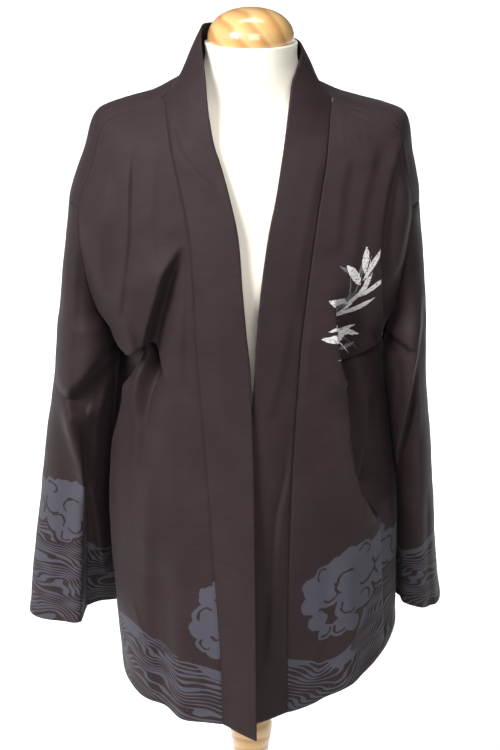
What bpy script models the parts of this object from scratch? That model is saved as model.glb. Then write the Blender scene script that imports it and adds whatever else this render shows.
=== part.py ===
import math
from collections import namedtuple

import bmesh
import bpy
import numpy as np

# Metres. X runs across, +Z up, and the wearer faces -Y. The wearer's right side is at -X.

CLOTH = 0.0018
BAND_CLOTH = 0.003
SEAM_GAP = 0.0007
SHOULDER_GAP = 0.0016
CENTRE_GAP = 0.0003
SEAM_LAP = 0.003
MOST_BEND = math.radians(28)
UNDERARM_EASE = 1.3
FOLD_FADE = 3
BAND_WIDTH_STEPS = 3
PANEL_STEPS = 11
BACK_STEPS = 9
SHOULDER_STEPS = 6
ARMHOLE_STEPS = 9

# The jacket hangs in level loops, numbered from the hem (0) to the neck (12).
UNDERARM = 4.0
DROP = 7.0
NECK_POINT = 11.4
FRONT_TOP = 11.3
NECK = 12.0

# Angles round a loop: 0 at centre front, 90 at the side, 180 at centre back.
SIDE = 90.0
FORWARD_SEAM = 67.0
ARMHOLE_BACK = 113.0

# side, front and back are the loop's heights there; right and left are its half widths; chest and
# spine are how far it reaches forward and back; square is 2 for an ellipse.
Loop = namedtuple(
    "Loop",
    "side_right side_left front_right front_left back right left chest_right chest_left spine square",
)
LOOPS = (
    Loop(0.540, 0.602, 0.545, 0.538, 0.545, 0.186, 0.208, 0.200, 0.168, 0.180, 2.1),
    Loop(0.646, 0.682, 0.652, 0.650, 0.655, 0.193, 0.207, 0.186, 0.164, 0.176, 2.1),
    Loop(0.785, 0.797, 0.785, 0.785, 0.785, 0.198, 0.203, 0.168, 0.158, 0.166, 2.15),
    Loop(0.910, 0.910, 0.905, 0.905, 0.905, 0.187, 0.190, 0.153, 0.151, 0.150, 2.2),
    Loop(1.030, 1.030, 1.030, 1.030, 1.030, 0.178, 0.176, 0.146, 0.146, 0.136, 2.2),
    Loop(1.085, 1.085, 1.080, 1.080, 1.090, 0.209, 0.193, 0.145, 0.145, 0.130, 2.2),
    Loop(1.145, 1.145, 1.135, 1.135, 1.160, 0.228, 0.208, 0.141, 0.141, 0.127, 2.2),
    Loop(1.2205, 1.2205, 1.200, 1.200, 1.235, 0.2355, 0.2183, 0.130, 0.130, 0.121, 2.2),
    Loop(1.285, 1.284, 1.245, 1.245, 1.285, 0.214, 0.207, 0.118, 0.118, 0.113, 2.2),
    Loop(1.328, 1.327, 1.282, 1.282, 1.320, 0.2005, 0.199, 0.106, 0.106, 0.102, 2.2),
    Loop(1.342, 1.339, 1.303, 1.303, 1.340, 0.180, 0.178, 0.097, 0.097, 0.095, 2.1),
    Loop(1.354, 1.349, 1.328, 1.328, 1.364, 0.134, 0.131, 0.080, 0.080, 0.084, 2.0),
    Loop(1.376, 1.3655, 1.352, 1.352, 1.385, 0.090, 0.088, 0.060, 0.060, 0.070, 2.0),
)

# The armhole's front and back edges, as angles at these loops.
Armhole = namedtuple("Armhole", "loop front back")
ARMHOLE = (
    Armhole(4.0, 90.0, 90.0),
    Armhole(4.4, 80.0, 99.0),
    Armhole(5.0, 74.0, 106.0),
    Armhole(6.0, 70.0, 110.0),
    Armhole(7.0, 67.0, 113.0),
)

# Folds of the trunk: each runs straight from (loop, angle) to (loop, angle), negative angles on the
# wearer's right. Height is how far it stands out, or in where negative.
Fold = namedtuple("Fold", "place_a angle_a place_b angle_b width height")
FOLDS = (
    Fold(6.2, -24.0, 3.6, -48.0, 8.0, -0.007),
    Fold(6.4, -34.0, 3.8, -60.0, 8.0, 0.005),
    Fold(8.6, -45.0, 4.8, -57.0, 6.0, 0.003),
    Fold(3.4, -62.0, 1.2, -50.0, 9.0, -0.006),
    Fold(1.6, -24.0, -0.5, -27.0, 7.0, 0.006),
    Fold(2.0, -38.0, -0.5, -41.0, 8.0, -0.008),
    Fold(6.5, 26.0, 3.6, 38.0, 7.0, 0.006),
    Fold(3.6, 38.0, 1.6, 50.0, 7.0, 0.006),
    Fold(6.0, 38.0, 3.0, 50.0, 8.0, -0.006),
    Fold(8.8, 60.0, 5.6, 56.0, 7.0, 0.008),
    Fold(2.0, 24.0, -0.5, 26.0, 8.0, -0.006),
    Fold(8.0, -140.0, 1.0, -132.0, 9.0, 0.006),
    Fold(7.0, -158.0, 0.0, -154.0, 9.0, -0.006),
    Fold(8.0, 142.0, 1.0, 136.0, 9.0, 0.006),
    Fold(6.5, 160.0, 0.0, 158.0, 9.0, -0.006),
)

# Collar: seam is the seam's place across on each loop; the free edge's place is given outright.
Band = namedtuple("Band", "loop seam free_x free_y free_z")
COLLAR_RIGHT = (
    Band(0.0, 0.0380, 0.0070, -0.2320, 0.543),
    Band(1.0, 0.0413, 0.0060, -0.2120, 0.652),
    Band(2.0, 0.0500, 0.0045, -0.1860, 0.783),
    Band(3.0, 0.0573, 0.0030, -0.1640, 0.904),
    Band(4.0, 0.0660, -0.0015, -0.1550, 1.031),
    Band(5.0, 0.0690, -0.0060, -0.1530, 1.081),
    Band(6.0, 0.0715, -0.0108, -0.1500, 1.137),
    Band(7.0, 0.0760, -0.0160, -0.1370, 1.203),
    Band(8.0, 0.0855, -0.0260, -0.1230, 1.249),
    Band(9.0, 0.0950, -0.0370, -0.1080, 1.287),
    Band(10.0, 0.1000, -0.0460, -0.0970, 1.313),
    Band(11.0, 0.1060, -0.0530, -0.0820, 1.352),
    Band(11.4, 0.1090, -0.0560, -0.0640, 1.385),
)
COLLAR_LEFT = (
    Band(0.0, 0.0497, -0.0060, -0.1900, 0.537),
    Band(1.0, 0.0492, -0.0040, -0.1800, 0.650),
    Band(2.0, 0.0500, -0.0020, -0.1690, 0.784),
    Band(3.0, 0.0535, -0.0010, -0.1550, 0.904),
    Band(4.0, 0.0604, 0.0050, -0.1500, 1.031),
    Band(5.0, 0.0640, 0.0080, -0.1490, 1.081),
    Band(6.0, 0.0700, 0.0125, -0.1470, 1.137),
    Band(7.0, 0.0785, 0.0215, -0.1340, 1.203),
    Band(8.0, 0.0860, 0.0310, -0.1200, 1.249),
    Band(9.0, 0.0925, 0.0375, -0.1060, 1.288),
    Band(10.0, 0.0950, 0.0415, -0.0960, 1.314),
    Band(11.0, 0.0985, 0.0465, -0.0800, 1.353),
    Band(11.4, 0.1005, 0.0500, -0.0600, 1.379),
)
# Round the neck: the angle, and the free edge's place, from the shoulder to centre back.
NeckBand = namedtuple("NeckBand", "angle free_x free_y free_z")
COLLAR_BACK_RIGHT = (
    NeckBand(90.0, -0.0625, -0.0040, 1.433),
    NeckBand(135.0, -0.0490, 0.0500, 1.436),
    NeckBand(177.0, -0.0040, 0.0730, 1.426),
    NeckBand(180.0, 0.0, 0.0730, 1.426),
)
COLLAR_BACK_LEFT = (
    NeckBand(90.0, 0.0635, -0.0040, 1.412),
    NeckBand(135.0, 0.0490, 0.0500, 1.419),
    NeckBand(177.0, 0.0040, 0.0730, 1.426),
    NeckBand(180.0, 0.0, 0.0730, 1.426),
)

# Sleeves, over the armhole: arcs from its front edge round the outside to its back edge. Inner and
# outer are the places across, span is the angle that the arc reaches each way from the outer side.
Arc = namedtuple("Arc", "loop inner outer depth middle span")
SLEEVE_TOP_RIGHT = (
    Arc(4.0, 0.1805, 0.2600, 0.072, 0.000, 180.0),
    Arc(5.0, 0.1920, 0.2535, 0.062, 0.000, 138.0),
    Arc(6.0, 0.1960, 0.2460, 0.056, 0.000, 102.0),
    Arc(7.0, 0.2090, 0.2355, 0.046, 0.000, 90.0),
)
SLEEVE_TOP_LEFT = (
    Arc(4.0, 0.1785, 0.2345, 0.076, 0.004, 180.0),
    Arc(5.0, 0.1820, 0.2320, 0.066, 0.002, 132.0),
    Arc(6.0, 0.1840, 0.2260, 0.056, 0.000, 102.0),
    Arc(7.0, 0.1930, 0.2183, 0.046, 0.000, 90.0),
)
# Below the armhole: level rings, wide across or front to back.
Ring = namedtuple("Ring", "height inner outer depth middle tilt")
SLEEVE_RIGHT = (
    Ring(1.010, 0.1825, 0.2630, 0.075, 0.004, 0.000),
    Ring(0.968, 0.1865, 0.2680, 0.076, 0.010, 0.000),
    Ring(0.890, 0.1935, 0.2825, 0.070, 0.020, 0.000),
    Ring(0.790, 0.2020, 0.2975, 0.062, 0.026, 0.000),
    Ring(0.700, 0.1990, 0.3120, 0.056, 0.028, -0.005),
    Ring(0.604, 0.1935, 0.3240, 0.052, 0.028, -0.008),
)
SLEEVE_LEFT = (
    Ring(1.010, 0.1805, 0.2362, 0.080, 0.008, 0.000),
    Ring(0.968, 0.1865, 0.2381, 0.084, 0.014, 0.000),
    Ring(0.880, 0.1960, 0.2489, 0.080, 0.024, 0.000),
    Ring(0.780, 0.2065, 0.2587, 0.076, 0.034, 0.000),
    Ring(0.700, 0.2090, 0.2662, 0.073, 0.044, 0.000),
    Ring(0.620, 0.2120, 0.2780, 0.070, 0.052, -0.006),
)
SLEEVE_ARC_STEPS = 22
SLEEVE_DROP_STEPS = 9
SLEEVE_SQUARE = 0.9
# Tucks of the sleeves: height and angle at each end, width and how far they stand out.
SLEEVE_FOLDS_RIGHT = (
    Fold(0.960, 70.0, 0.830, 116.0, 16.0, 0.012),
    Fold(0.870, 114.0, 0.560, 98.0, 16.0, 0.020),
    Fold(0.900, 142.0, 0.560, 138.0, 16.0, -0.030),
)
SLEEVE_FOLDS_LEFT = (
    Fold(1.080, 62.0, 0.900, 80.0, 14.0, 0.006),
    Fold(0.820, 60.0, 0.560, 66.0, 14.0, -0.006),
)

FORM = (
    Loop(0.670, 0.670, 0.670, 0.670, 0.670, 0.120, 0.120, 0.090, 0.090, 0.100, 2.2),
    Loop(0.675, 0.675, 0.675, 0.675, 0.675, 0.145, 0.145, 0.108, 0.108, 0.118, 2.2),
    Loop(0.780, 0.780, 0.780, 0.780, 0.780, 0.160, 0.160, 0.118, 0.118, 0.128, 2.2),
    Loop(0.880, 0.880, 0.880, 0.880, 0.880, 0.142, 0.142, 0.110, 0.110, 0.112, 2.2),
    Loop(0.970, 0.970, 0.970, 0.970, 0.970, 0.124, 0.124, 0.100, 0.100, 0.098, 2.2),
    Loop(1.060, 1.060, 1.060, 1.060, 1.060, 0.136, 0.136, 0.116, 0.116, 0.104, 2.2),
    Loop(1.140, 1.140, 1.130, 1.130, 1.150, 0.150, 0.150, 0.132, 0.132, 0.110, 2.2),
    Loop(1.220, 1.220, 1.195, 1.195, 1.230, 0.168, 0.168, 0.122, 0.122, 0.108, 2.2),
    Loop(1.283, 1.282, 1.243, 1.243, 1.282, 0.184, 0.184, 0.112, 0.112, 0.105, 2.2),
    Loop(1.3232, 1.3222, 1.279, 1.279, 1.315, 0.1991, 0.1975, 0.101, 0.101, 0.097, 2.2),
    Loop(1.3385, 1.3365, 1.300, 1.300, 1.336, 0.1753, 0.1733, 0.092, 0.092, 0.091, 2.1),
    Loop(1.351, 1.3465, 1.325, 1.325, 1.360, 0.130, 0.127, 0.075, 0.075, 0.080, 2.0),
    Loop(1.370, 1.361, 1.348, 1.348, 1.380, 0.082, 0.081, 0.062, 0.062, 0.066, 2.0),
    Loop(1.395, 1.395, 1.385, 1.385, 1.398, 0.060, 0.060, 0.060, 0.060, 0.060, 2.0),
    Loop(1.420, 1.420, 1.420, 1.420, 1.420, 0.0583, 0.0583, 0.0583, 0.0583, 0.0583, 2.0),
)
FORM_SEGMENTS = 32
FORM_PLACES = (0.0, 1.0, 1.5, 2.0, 3.0, 4.0, 5.0, 6.0, 7.0, 8.0, 8.6, 9.0, 9.5, 10.0, 11.0, 12.0, 13.0, 14.0)

# Turned wood, as radius and height down the outer side.
CAP_PROFILE = (
    (0.0, 1.4620),
    (0.0160, 1.4608),
    (0.0310, 1.4565),
    (0.0430, 1.4490),
    (0.0510, 1.4390),
    (0.0543, 1.4290),
    (0.0545, 1.4235),
    (0.0530, 1.4203),
    (0.0, 1.4203),
)
POST_TOP = 0.6697
POST_PROFILE = (
    (0.0, POST_TOP),
    (0.0240, POST_TOP),
    (0.0240, 0.460),
    (0.0200, 0.452),
    (0.0200, 0.444),
    (0.0275, 0.434),
    (0.0312, 0.415),
    (0.0300, 0.395),
    (0.0262, 0.370),
    (0.0225, 0.330),
    (0.0200, 0.240),
    (0.0215, 0.140),
    (0.0270, 0.080),
    (0.0330, 0.052),
    (0.0340, 0.0253),
    (0.0, 0.0253),
)
BASE_PROFILE = (
    (0.0, 0.025),
    (0.176, 0.025),
    (0.186, 0.021),
    (0.190, 0.012),
    (0.188, 0.0),
    (0.0, 0.0),
)
TURNED_STEPS = 32
BASE_STEPS = 48


def clear_scene():
    for obj in list(bpy.data.objects):
        bpy.data.objects.remove(obj)


def material(name, colour, roughness, metallic=0.0):
    made = bpy.data.materials.new(name)
    made.use_nodes = True
    shader = made.node_tree.nodes["Principled BSDF"]
    shader.inputs["Base Color"].default_value = (*colour, 1.0)
    shader.inputs["Roughness"].default_value = roughness
    shader.inputs["Metallic"].default_value = metallic
    return made


def smooth_row(rows, place):
    """The table's columns at a place between its rows, on a smooth curve through them."""
    place = min(max(place, 0.0), len(rows) - 1.0)
    low = min(int(place), len(rows) - 2)
    part = place - low
    before, start, end, after = (
        np.array(rows[min(max(low + step, 0), len(rows) - 1)]) for step in (-1, 0, 1, 2)
    )
    leave = (end - before) / 2
    arrive = (after - start) / 2
    mixed = (
        (2 * part**3 - 3 * part**2 + 1) * start
        + (part**3 - 2 * part**2 + part) * leave
        + (3 * part**2 - 2 * part**3) * end
        + (part**3 - part**2) * arrive
    )
    return type(rows[0])(*mixed)


def by_key(rows, key):
    """A row of a table whose first column rises, at a value of that first column."""
    keys = [row[0] for row in rows]
    place = float(np.interp(key, keys, range(len(keys))))
    return smooth_row(rows, place)


def bump(distance, width):
    return math.exp(-((distance / width) ** 2))


def fold_height(folds, place, angle):
    """How far the folds lift the cloth at a place along it and an angle round it."""
    total = 0.0
    for fold in folds:
        run = (place - fold.place_a) / (fold.place_b - fold.place_a)
        fade = min(1.0, max(0.0, 1.0 - abs(run - 0.5) * 2) * FOLD_FADE)
        centre = fold.angle_a + (fold.angle_b - fold.angle_a) * run
        total += fold.height * fade * bump(angle - centre, fold.width)
    return total


def ring_point(shape, side, angle, lift=0.0):
    """A point of a loop's shape. side is -1 on the wearer's right and 1 on the left."""
    if side < 0:
        height, front, half, chest = shape.side_right, shape.front_right, shape.right, shape.chest_right
    else:
        height, front, half, chest = shape.side_left, shape.front_left, shape.left, shape.chest_left
    turn = math.radians(angle)
    across = abs(math.sin(turn)) ** (2 / shape.square)
    along = abs(math.cos(turn)) ** (2 / shape.square)
    ahead = angle < SIDE
    level = height + ((front if ahead else shape.back) - height) * math.cos(turn) ** 2
    reach = -chest if ahead else shape.spine
    out = 1.0 + lift / max(half, chest)
    return np.array((side * half * across * out, reach * along * out, level))


def loop_point(side, loop, angle):
    return ring_point(smooth_row(LOOPS, loop), side, angle, fold_height(FOLDS, loop, side * angle))


def seam_angle(side, loop):
    """The angle at which the collar is sewn to the front."""
    across = by_key(COLLAR_RIGHT if side < 0 else COLLAR_LEFT, loop).seam
    shape = smooth_row(LOOPS, loop)
    share = across / (shape.right if side < 0 else shape.left)
    return math.degrees(math.asin(min(1.0, share ** (shape.square / 2))))


def loop_steps(top):
    """The loops at which the panels have their rows, from the hem up."""
    rows = list(np.linspace(0.0, UNDERARM, 9)[:-1])
    rows += list(np.linspace(UNDERARM, DROP, ARMHOLE_STEPS + 1))
    rows += list(np.linspace(DROP, top, 7)[1:])
    return rows


def unit(vector):
    return vector / np.linalg.norm(vector)


def pull_in(edge, inner, gap=SEAM_GAP):
    """An edge point, moved off its seam towards the next point inside the piece."""
    return edge + unit(inner - edge) * gap / 2


def set_back(edge, inner, beyond):
    """The same, and further where this wall meets the one beyond the seam at an angle."""
    away = unit(inner - edge)
    bend = math.acos(min(1.0, max(-1.0, float(away @ unit(beyond - edge)))))
    lean = 1.0 / math.tan(max(bend / 2, MOST_BEND))
    return edge + away * (SEAM_GAP / 2 + CLOTH * lean)


def grid_object(name, rows, finish, thickness):
    """A wall of cloth over rows of points. A row whose ends are the same point is a closed ring."""
    mesh = bmesh.new()
    made = []
    for row in rows:
        verts = [mesh.verts.new(point) for point in row[:-1]]
        ring = np.allclose(row[0], row[-1])
        made.append([*verts, verts[0] if ring else mesh.verts.new(row[-1])])
    for low, high in zip(made, made[1:]):
        for i in range(len(low) - 1):
            mesh.faces.new((low[i], low[i + 1], high[i + 1], high[i]))
    return wall_object(name, mesh, finish, thickness)


def wall_object(name, mesh, finish, thickness):
    data = bpy.data.meshes.new(name)
    mesh.to_mesh(data)
    mesh.free()
    data.shade_smooth()
    data.materials.append(finish)
    obj = bpy.data.objects.new(name, data)
    wall = obj.modifiers.new("Wall", "SOLIDIFY")
    wall.thickness = thickness
    wall.offset = 0.0
    wall.use_even_offset = True
    collection.objects.link(obj)
    return obj


def front_panel(name, side, finish):
    """One front: collar seam to side seam and armhole, hem to the forward shoulder seam."""
    rows = []
    for loop in loop_steps(FRONT_TOP):
        outer = SIDE
        if loop > UNDERARM:
            outer = by_key(ARMHOLE, loop).front if loop < DROP else FORWARD_SEAM
        inner = seam_angle(side, loop)
        angles = np.linspace(inner, outer, PANEL_STEPS + 1)
        row = [loop_point(side, loop, angle) for angle in angles]
        rows.append([pull_in(row[0], row[1]), *row[1:-1], pull_in(row[-1], row[-2])])
    rows[-1] = [pull_in(edge, inner, SHOULDER_GAP) for edge, inner in zip(rows[-1], rows[-2])]
    if side > 0:
        rows = [row[::-1] for row in rows]
    return grid_object(name, rows, finish, CLOTH)


def back_edge(loop):
    if loop <= UNDERARM:
        return SIDE
    return by_key(ARMHOLE, loop).back if loop < DROP else ARMHOLE_BACK


def neckline_angle(loop):
    """The forward shoulder seam, and above its end the neckline that bends back to the side."""
    return FORWARD_SEAM + (SIDE - FORWARD_SEAM) * max(0.0, (loop - NECK_POINT) / (NECK - NECK_POINT))


def back_panel(name, finish):
    """The back, whole, with its shoulders carried forward over the top of each armhole."""
    mesh = bmesh.new()
    loops = [*loop_steps(FRONT_TOP), NECK_POINT, 11.7, NECK]
    lines = []
    for loop in loops:
        over = loop >= DROP - 1e-9
        halves = []
        for side in (-1, 1):
            angles = list(np.linspace(180.0, back_edge(loop), BACK_STEPS + 1))
            if over:
                angles += list(np.linspace(ARMHOLE_BACK, neckline_angle(loop), SHOULDER_STEPS + 1)[1:])
            half = [loop_point(side, loop, angle) for angle in angles]
            half[-1] = pull_in(half[-1], half[-2])
            half += [None] * (BACK_STEPS + SHOULDER_STEPS + 1 - len(half))
            halves.append(half)
        lines.append([*halves[0][:0:-1], *halves[1]])
    drop = loops.index(next(loop for loop in loops if loop >= DROP - 1e-9))
    for i in (*range(SHOULDER_STEPS + 1), *range(-SHOULDER_STEPS - 1, 0)):
        lines[drop][i] = pull_in(lines[drop][i], lines[drop + 1][i])
    lines[-1] = [pull_in(edge, inner) for edge, inner in zip(lines[-1], lines[-2])]
    made = [[None if p is None else mesh.verts.new(p) for p in line] for line in lines]
    for low, high in zip(made, made[1:]):
        for i in range(len(low) - 1):
            corners = (low[i], low[i + 1], high[i + 1], high[i])
            if None not in corners:
                mesh.faces.new(corners[::-1])
    return wall_object(name, mesh, finish, CLOTH)


def sleeve_ring(side, shape, span, folds):
    """Points of a sleeve at one level, from its inner front round the outside to its inner back."""
    centre = (shape.inner + shape.outer) / 2
    half = (shape.outer - shape.inner) / 2
    points = []
    for angle in np.linspace(span, -span, SLEEVE_ARC_STEPS + 1):
        turn = math.radians(angle)
        reach = shape.depth + fold_height(folds, shape.height, angle)
        across = centre + half * math.cos(turn)
        along = shape.middle - reach * math.copysign(abs(math.sin(turn)) ** SLEEVE_SQUARE, math.sin(turn))
        points.append(np.array((side * across, along, shape.height + shape.tilt * math.cos(turn))))
    return points


def sleeve(name, side, top, low, folds, finish):
    """A tube sewn to the armhole, hanging down to an open cuff."""
    rows = []
    for loop in np.linspace(DROP, UNDERARM, ARMHOLE_STEPS + 1):
        arc = by_key(top, loop)
        hole = by_key(ARMHOLE, loop)
        angles = (hole.front, hole.back)
        ends = [loop_point(side, loop, angle) for angle in angles]
        beyond = [loop_point(side, loop, angle + step) for angle, step in zip(angles, (-2, 2))]
        beside = max(0.0, 1.0 - (loop - UNDERARM) / UNDERARM_EASE)
        for end in ends:
            end[0] += side * (CLOTH + SEAM_GAP) * beside
        shape = Ring(0.0, arc.inner, arc.outer, arc.depth, arc.middle, 0.0)
        ring = sleeve_ring(side, shape, arc.span, ())
        heights = (ends[0][2], loop_point(side, loop, SIDE)[2], ends[1][2])
        row = []
        for i, point in enumerate(ring):
            share = i / SLEEVE_ARC_STEPS
            point[2] = np.interp(share, (0.0, 0.5, 1.0), heights)
            row.append(point)
        moves = (ends[0] - row[0], ends[1] - row[-1])
        for i in range(len(row)):
            share = i / SLEEVE_ARC_STEPS
            row[i] = row[i] + moves[0] * max(0.0, 1 - 2.5 * share) ** 1.5
            row[i] = row[i] + moves[1] * max(0.0, 2.5 * share - 1.5) ** 1.5
        if loop > UNDERARM:
            row[0] = set_back(row[0], row[1], beyond[0])
            row[-1] = set_back(row[-1], row[-2], beyond[1])
        rows.append(row)
    rows[0] = [pull_in(edge, inner) for edge, inner in zip(rows[0], rows[1])]
    places = np.linspace(0.0, len(low) - 1.0, SLEEVE_DROP_STEPS + 1)
    for place in places:
        rows.append(sleeve_ring(side, smooth_row(low, place), 180.0, folds))
    for row in rows[ARMHOLE_STEPS:]:
        row[-1] = row[0]
    if side > 0:
        rows = [row[::-1] for row in rows]
    return grid_object(name, rows, finish, CLOTH)


def off_panel(side, loop, angle, ahead, free):
    """At a collar seam, the way off the panel: in its surface, square to the seam."""
    seam = loop_point(side, loop, angle)
    round_it = loop_point(side, loop, angle + 0.5) - seam
    low = max(loop - 0.02, 0.0)
    up_it = loop_point(side, low + 0.02, angle) - loop_point(side, low, angle)
    way = unit(np.cross(unit(ahead - seam), np.cross(round_it, up_it)))
    return way if way @ (free - seam) > 0 else -way


def free_point(row):
    return np.array((row.free_x, row.free_y, row.free_z))


def collar(name, side, front_rows, back_rows, finish):
    """Half of the band: up one front edge, round the neck and to centre back."""
    places = [(loop, seam_angle(side, loop)) for loop in loop_steps(FRONT_TOP)]
    frees = [free_point(by_key(front_rows, loop)) for loop, _ in places]
    top = front_rows[-1]
    neck_rows = [NeckBand(FORWARD_SEAM, top.free_x, top.free_y, top.free_z), *back_rows]
    for angle in (FORWARD_SEAM, 78.0, *np.linspace(SIDE, 165.0, 6), 177.0, 180.0):
        rise = min(1.0, (angle - FORWARD_SEAM) / (SIDE - FORWARD_SEAM))
        places.append((NECK_POINT + (NECK - NECK_POINT) * rise, angle))
        frees.append(free_point(by_key(neck_rows, angle)))
    seams = [loop_point(side, *place) for place in places]
    rows = []
    for i, (place, seam, free) in enumerate(zip(places, seams, frees)):
        ahead = seams[i + 1] if i + 1 < len(seams) else 2 * seam - seams[i - 1]
        way = off_panel(side, *place, ahead, free)
        lap = seam + way * SEAM_LAP
        row = [seam + way * SEAM_GAP / 2]
        row += [lap + (free - lap) * step / BAND_WIDTH_STEPS for step in range(BAND_WIDTH_STEPS + 1)]
        rows.append(row)
    rows[-1] = [point + np.array((side * CENTRE_GAP, 0, 0)) for point in rows[-1]]
    if side < 0:
        rows = [row[::-1] for row in rows]
    return grid_object(name, rows, finish, BAND_CLOTH)


def form_body(name, finish):
    """The limbless form, whole and smooth, closed at the neck and under the hips."""
    mesh = bmesh.new()
    rings = []
    for place in FORM_PLACES:
        shape = smooth_row(FORM, place)
        ring = []
        for i in range(FORM_SEGMENTS):
            angle = 360.0 * i / FORM_SEGMENTS
            point = ring_point(shape, 1, angle) if angle <= 180 else ring_point(shape, -1, 360.0 - angle)
            ring.append(mesh.verts.new(point))
        rings.append(ring)
    for low, high in zip(rings, rings[1:]):
        for i in range(FORM_SEGMENTS):
            j = (i + 1) % FORM_SEGMENTS
            mesh.faces.new((low[i], low[j], high[j], high[i]))
    mesh.faces.new(rings[0][::-1])
    mesh.faces.new(rings[-1])
    data = bpy.data.meshes.new(name)
    mesh.to_mesh(data)
    mesh.free()
    data.shade_smooth()
    data.materials.append(finish)
    obj = bpy.data.objects.new(name, data)
    collection.objects.link(obj)
    return obj


def turned(name, profile, steps, finish):
    """A turned piece: its profile spun about the upright axis."""
    data = bpy.data.meshes.new(name)
    edges = [(i, i + 1) for i in range(len(profile) - 1)]
    data.from_pydata([(radius, 0.0, height) for radius, height in profile], edges, [])
    data.materials.append(finish)
    obj = bpy.data.objects.new(name, data)
    screw = obj.modifiers.new("Turn", "SCREW")
    screw.steps = steps
    screw.render_steps = steps
    screw.use_merge_vertices = True
    screw.merge_threshold = 0.00005
    screw.use_smooth_shade = True
    collection.objects.link(obj)
    return obj


clear_scene()
collection = bpy.data.collections.new("Kimono jacket on dress form")
bpy.context.scene.collection.children.link(collection)

cloth = material("Brown black cloth", (0.040, 0.030, 0.030), 0.75)
jersey = material("Cream jersey", (0.85, 0.80, 0.70), 0.9)
wood = material("Lacquered pine", (0.80, 0.52, 0.26), 0.3)

back_panel("back", cloth)
front_panel("front_right", -1, cloth)
front_panel("front_left", 1, cloth)
sleeve("sleeve_right", -1, SLEEVE_TOP_RIGHT, SLEEVE_RIGHT, SLEEVE_FOLDS_RIGHT, cloth)
sleeve("sleeve_left", 1, SLEEVE_TOP_LEFT, SLEEVE_LEFT, SLEEVE_FOLDS_LEFT, cloth)
collar("collar_right", -1, COLLAR_RIGHT, COLLAR_BACK_RIGHT, cloth)
collar("collar_left", 1, COLLAR_LEFT, COLLAR_BACK_LEFT, cloth)
form_body("form_torso", jersey)
turned("neck_cap", CAP_PROFILE, TURNED_STEPS, wood)
turned("stand_post", POST_PROFILE, TURNED_STEPS, wood)
turned("stand_base", BASE_PROFILE, BASE_STEPS, wood)
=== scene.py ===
import math

import bpy
import numpy as np
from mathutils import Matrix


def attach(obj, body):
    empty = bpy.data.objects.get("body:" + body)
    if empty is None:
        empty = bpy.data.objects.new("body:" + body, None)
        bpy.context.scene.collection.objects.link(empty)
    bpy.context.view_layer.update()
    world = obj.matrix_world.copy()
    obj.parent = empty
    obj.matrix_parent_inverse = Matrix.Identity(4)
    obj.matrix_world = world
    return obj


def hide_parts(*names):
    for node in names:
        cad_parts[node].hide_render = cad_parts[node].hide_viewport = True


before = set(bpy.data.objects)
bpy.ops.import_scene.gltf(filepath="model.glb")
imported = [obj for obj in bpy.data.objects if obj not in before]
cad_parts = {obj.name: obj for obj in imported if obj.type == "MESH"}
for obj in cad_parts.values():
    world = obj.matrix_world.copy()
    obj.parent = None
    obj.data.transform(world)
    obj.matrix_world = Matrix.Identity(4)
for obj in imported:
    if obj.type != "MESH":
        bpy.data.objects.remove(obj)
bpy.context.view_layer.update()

# Stand: a round foot, a post and a domed neck cap, turned from pine on a lathe and varnished clear.
# The post carries the form's flat underside, and the cap closes the form's neck.


def linear(code):
    """An sRGB hex colour as the linear colour that a shader takes."""
    values = [int(code[i : i + 2], 16) / 255 for i in (1, 3, 5)]
    return (*(v / 12.92 if v <= 0.04045 else ((v + 0.055) / 1.055) ** 2.4 for v in values), 1.0)


def add(tree, kind, inputs=(), **settings):
    """Adds a node with its settings and links, and returns its outputs."""
    node = tree.nodes.new(kind)
    for name, value in settings.items():
        setattr(node, name, value)
    for name, value in dict(inputs).items():
        socket = node.inputs[name]
        if isinstance(value, bpy.types.NodeSocket):
            tree.links.new(value, socket)
        else:
            socket.default_value = value
    return node.outputs


def set_stops(ramp, stops):
    """Gives a colour ramp its stops, as places and hex colours."""
    while len(ramp.elements) < len(stops):
        ramp.elements.new(0.5)
    for element, (place, code) in zip(ramp.elements, stops):
        element.position = place
        element.color = linear(code)


def new_material(name, roughness):
    """A material with its node tree and its shader's inputs."""
    material = bpy.data.materials.new(name)
    material.use_nodes = True
    inputs = material.node_tree.nodes["Principled BSDF"].inputs
    inputs["Roughness"].default_value = roughness
    return material, material.node_tree, inputs


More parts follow.
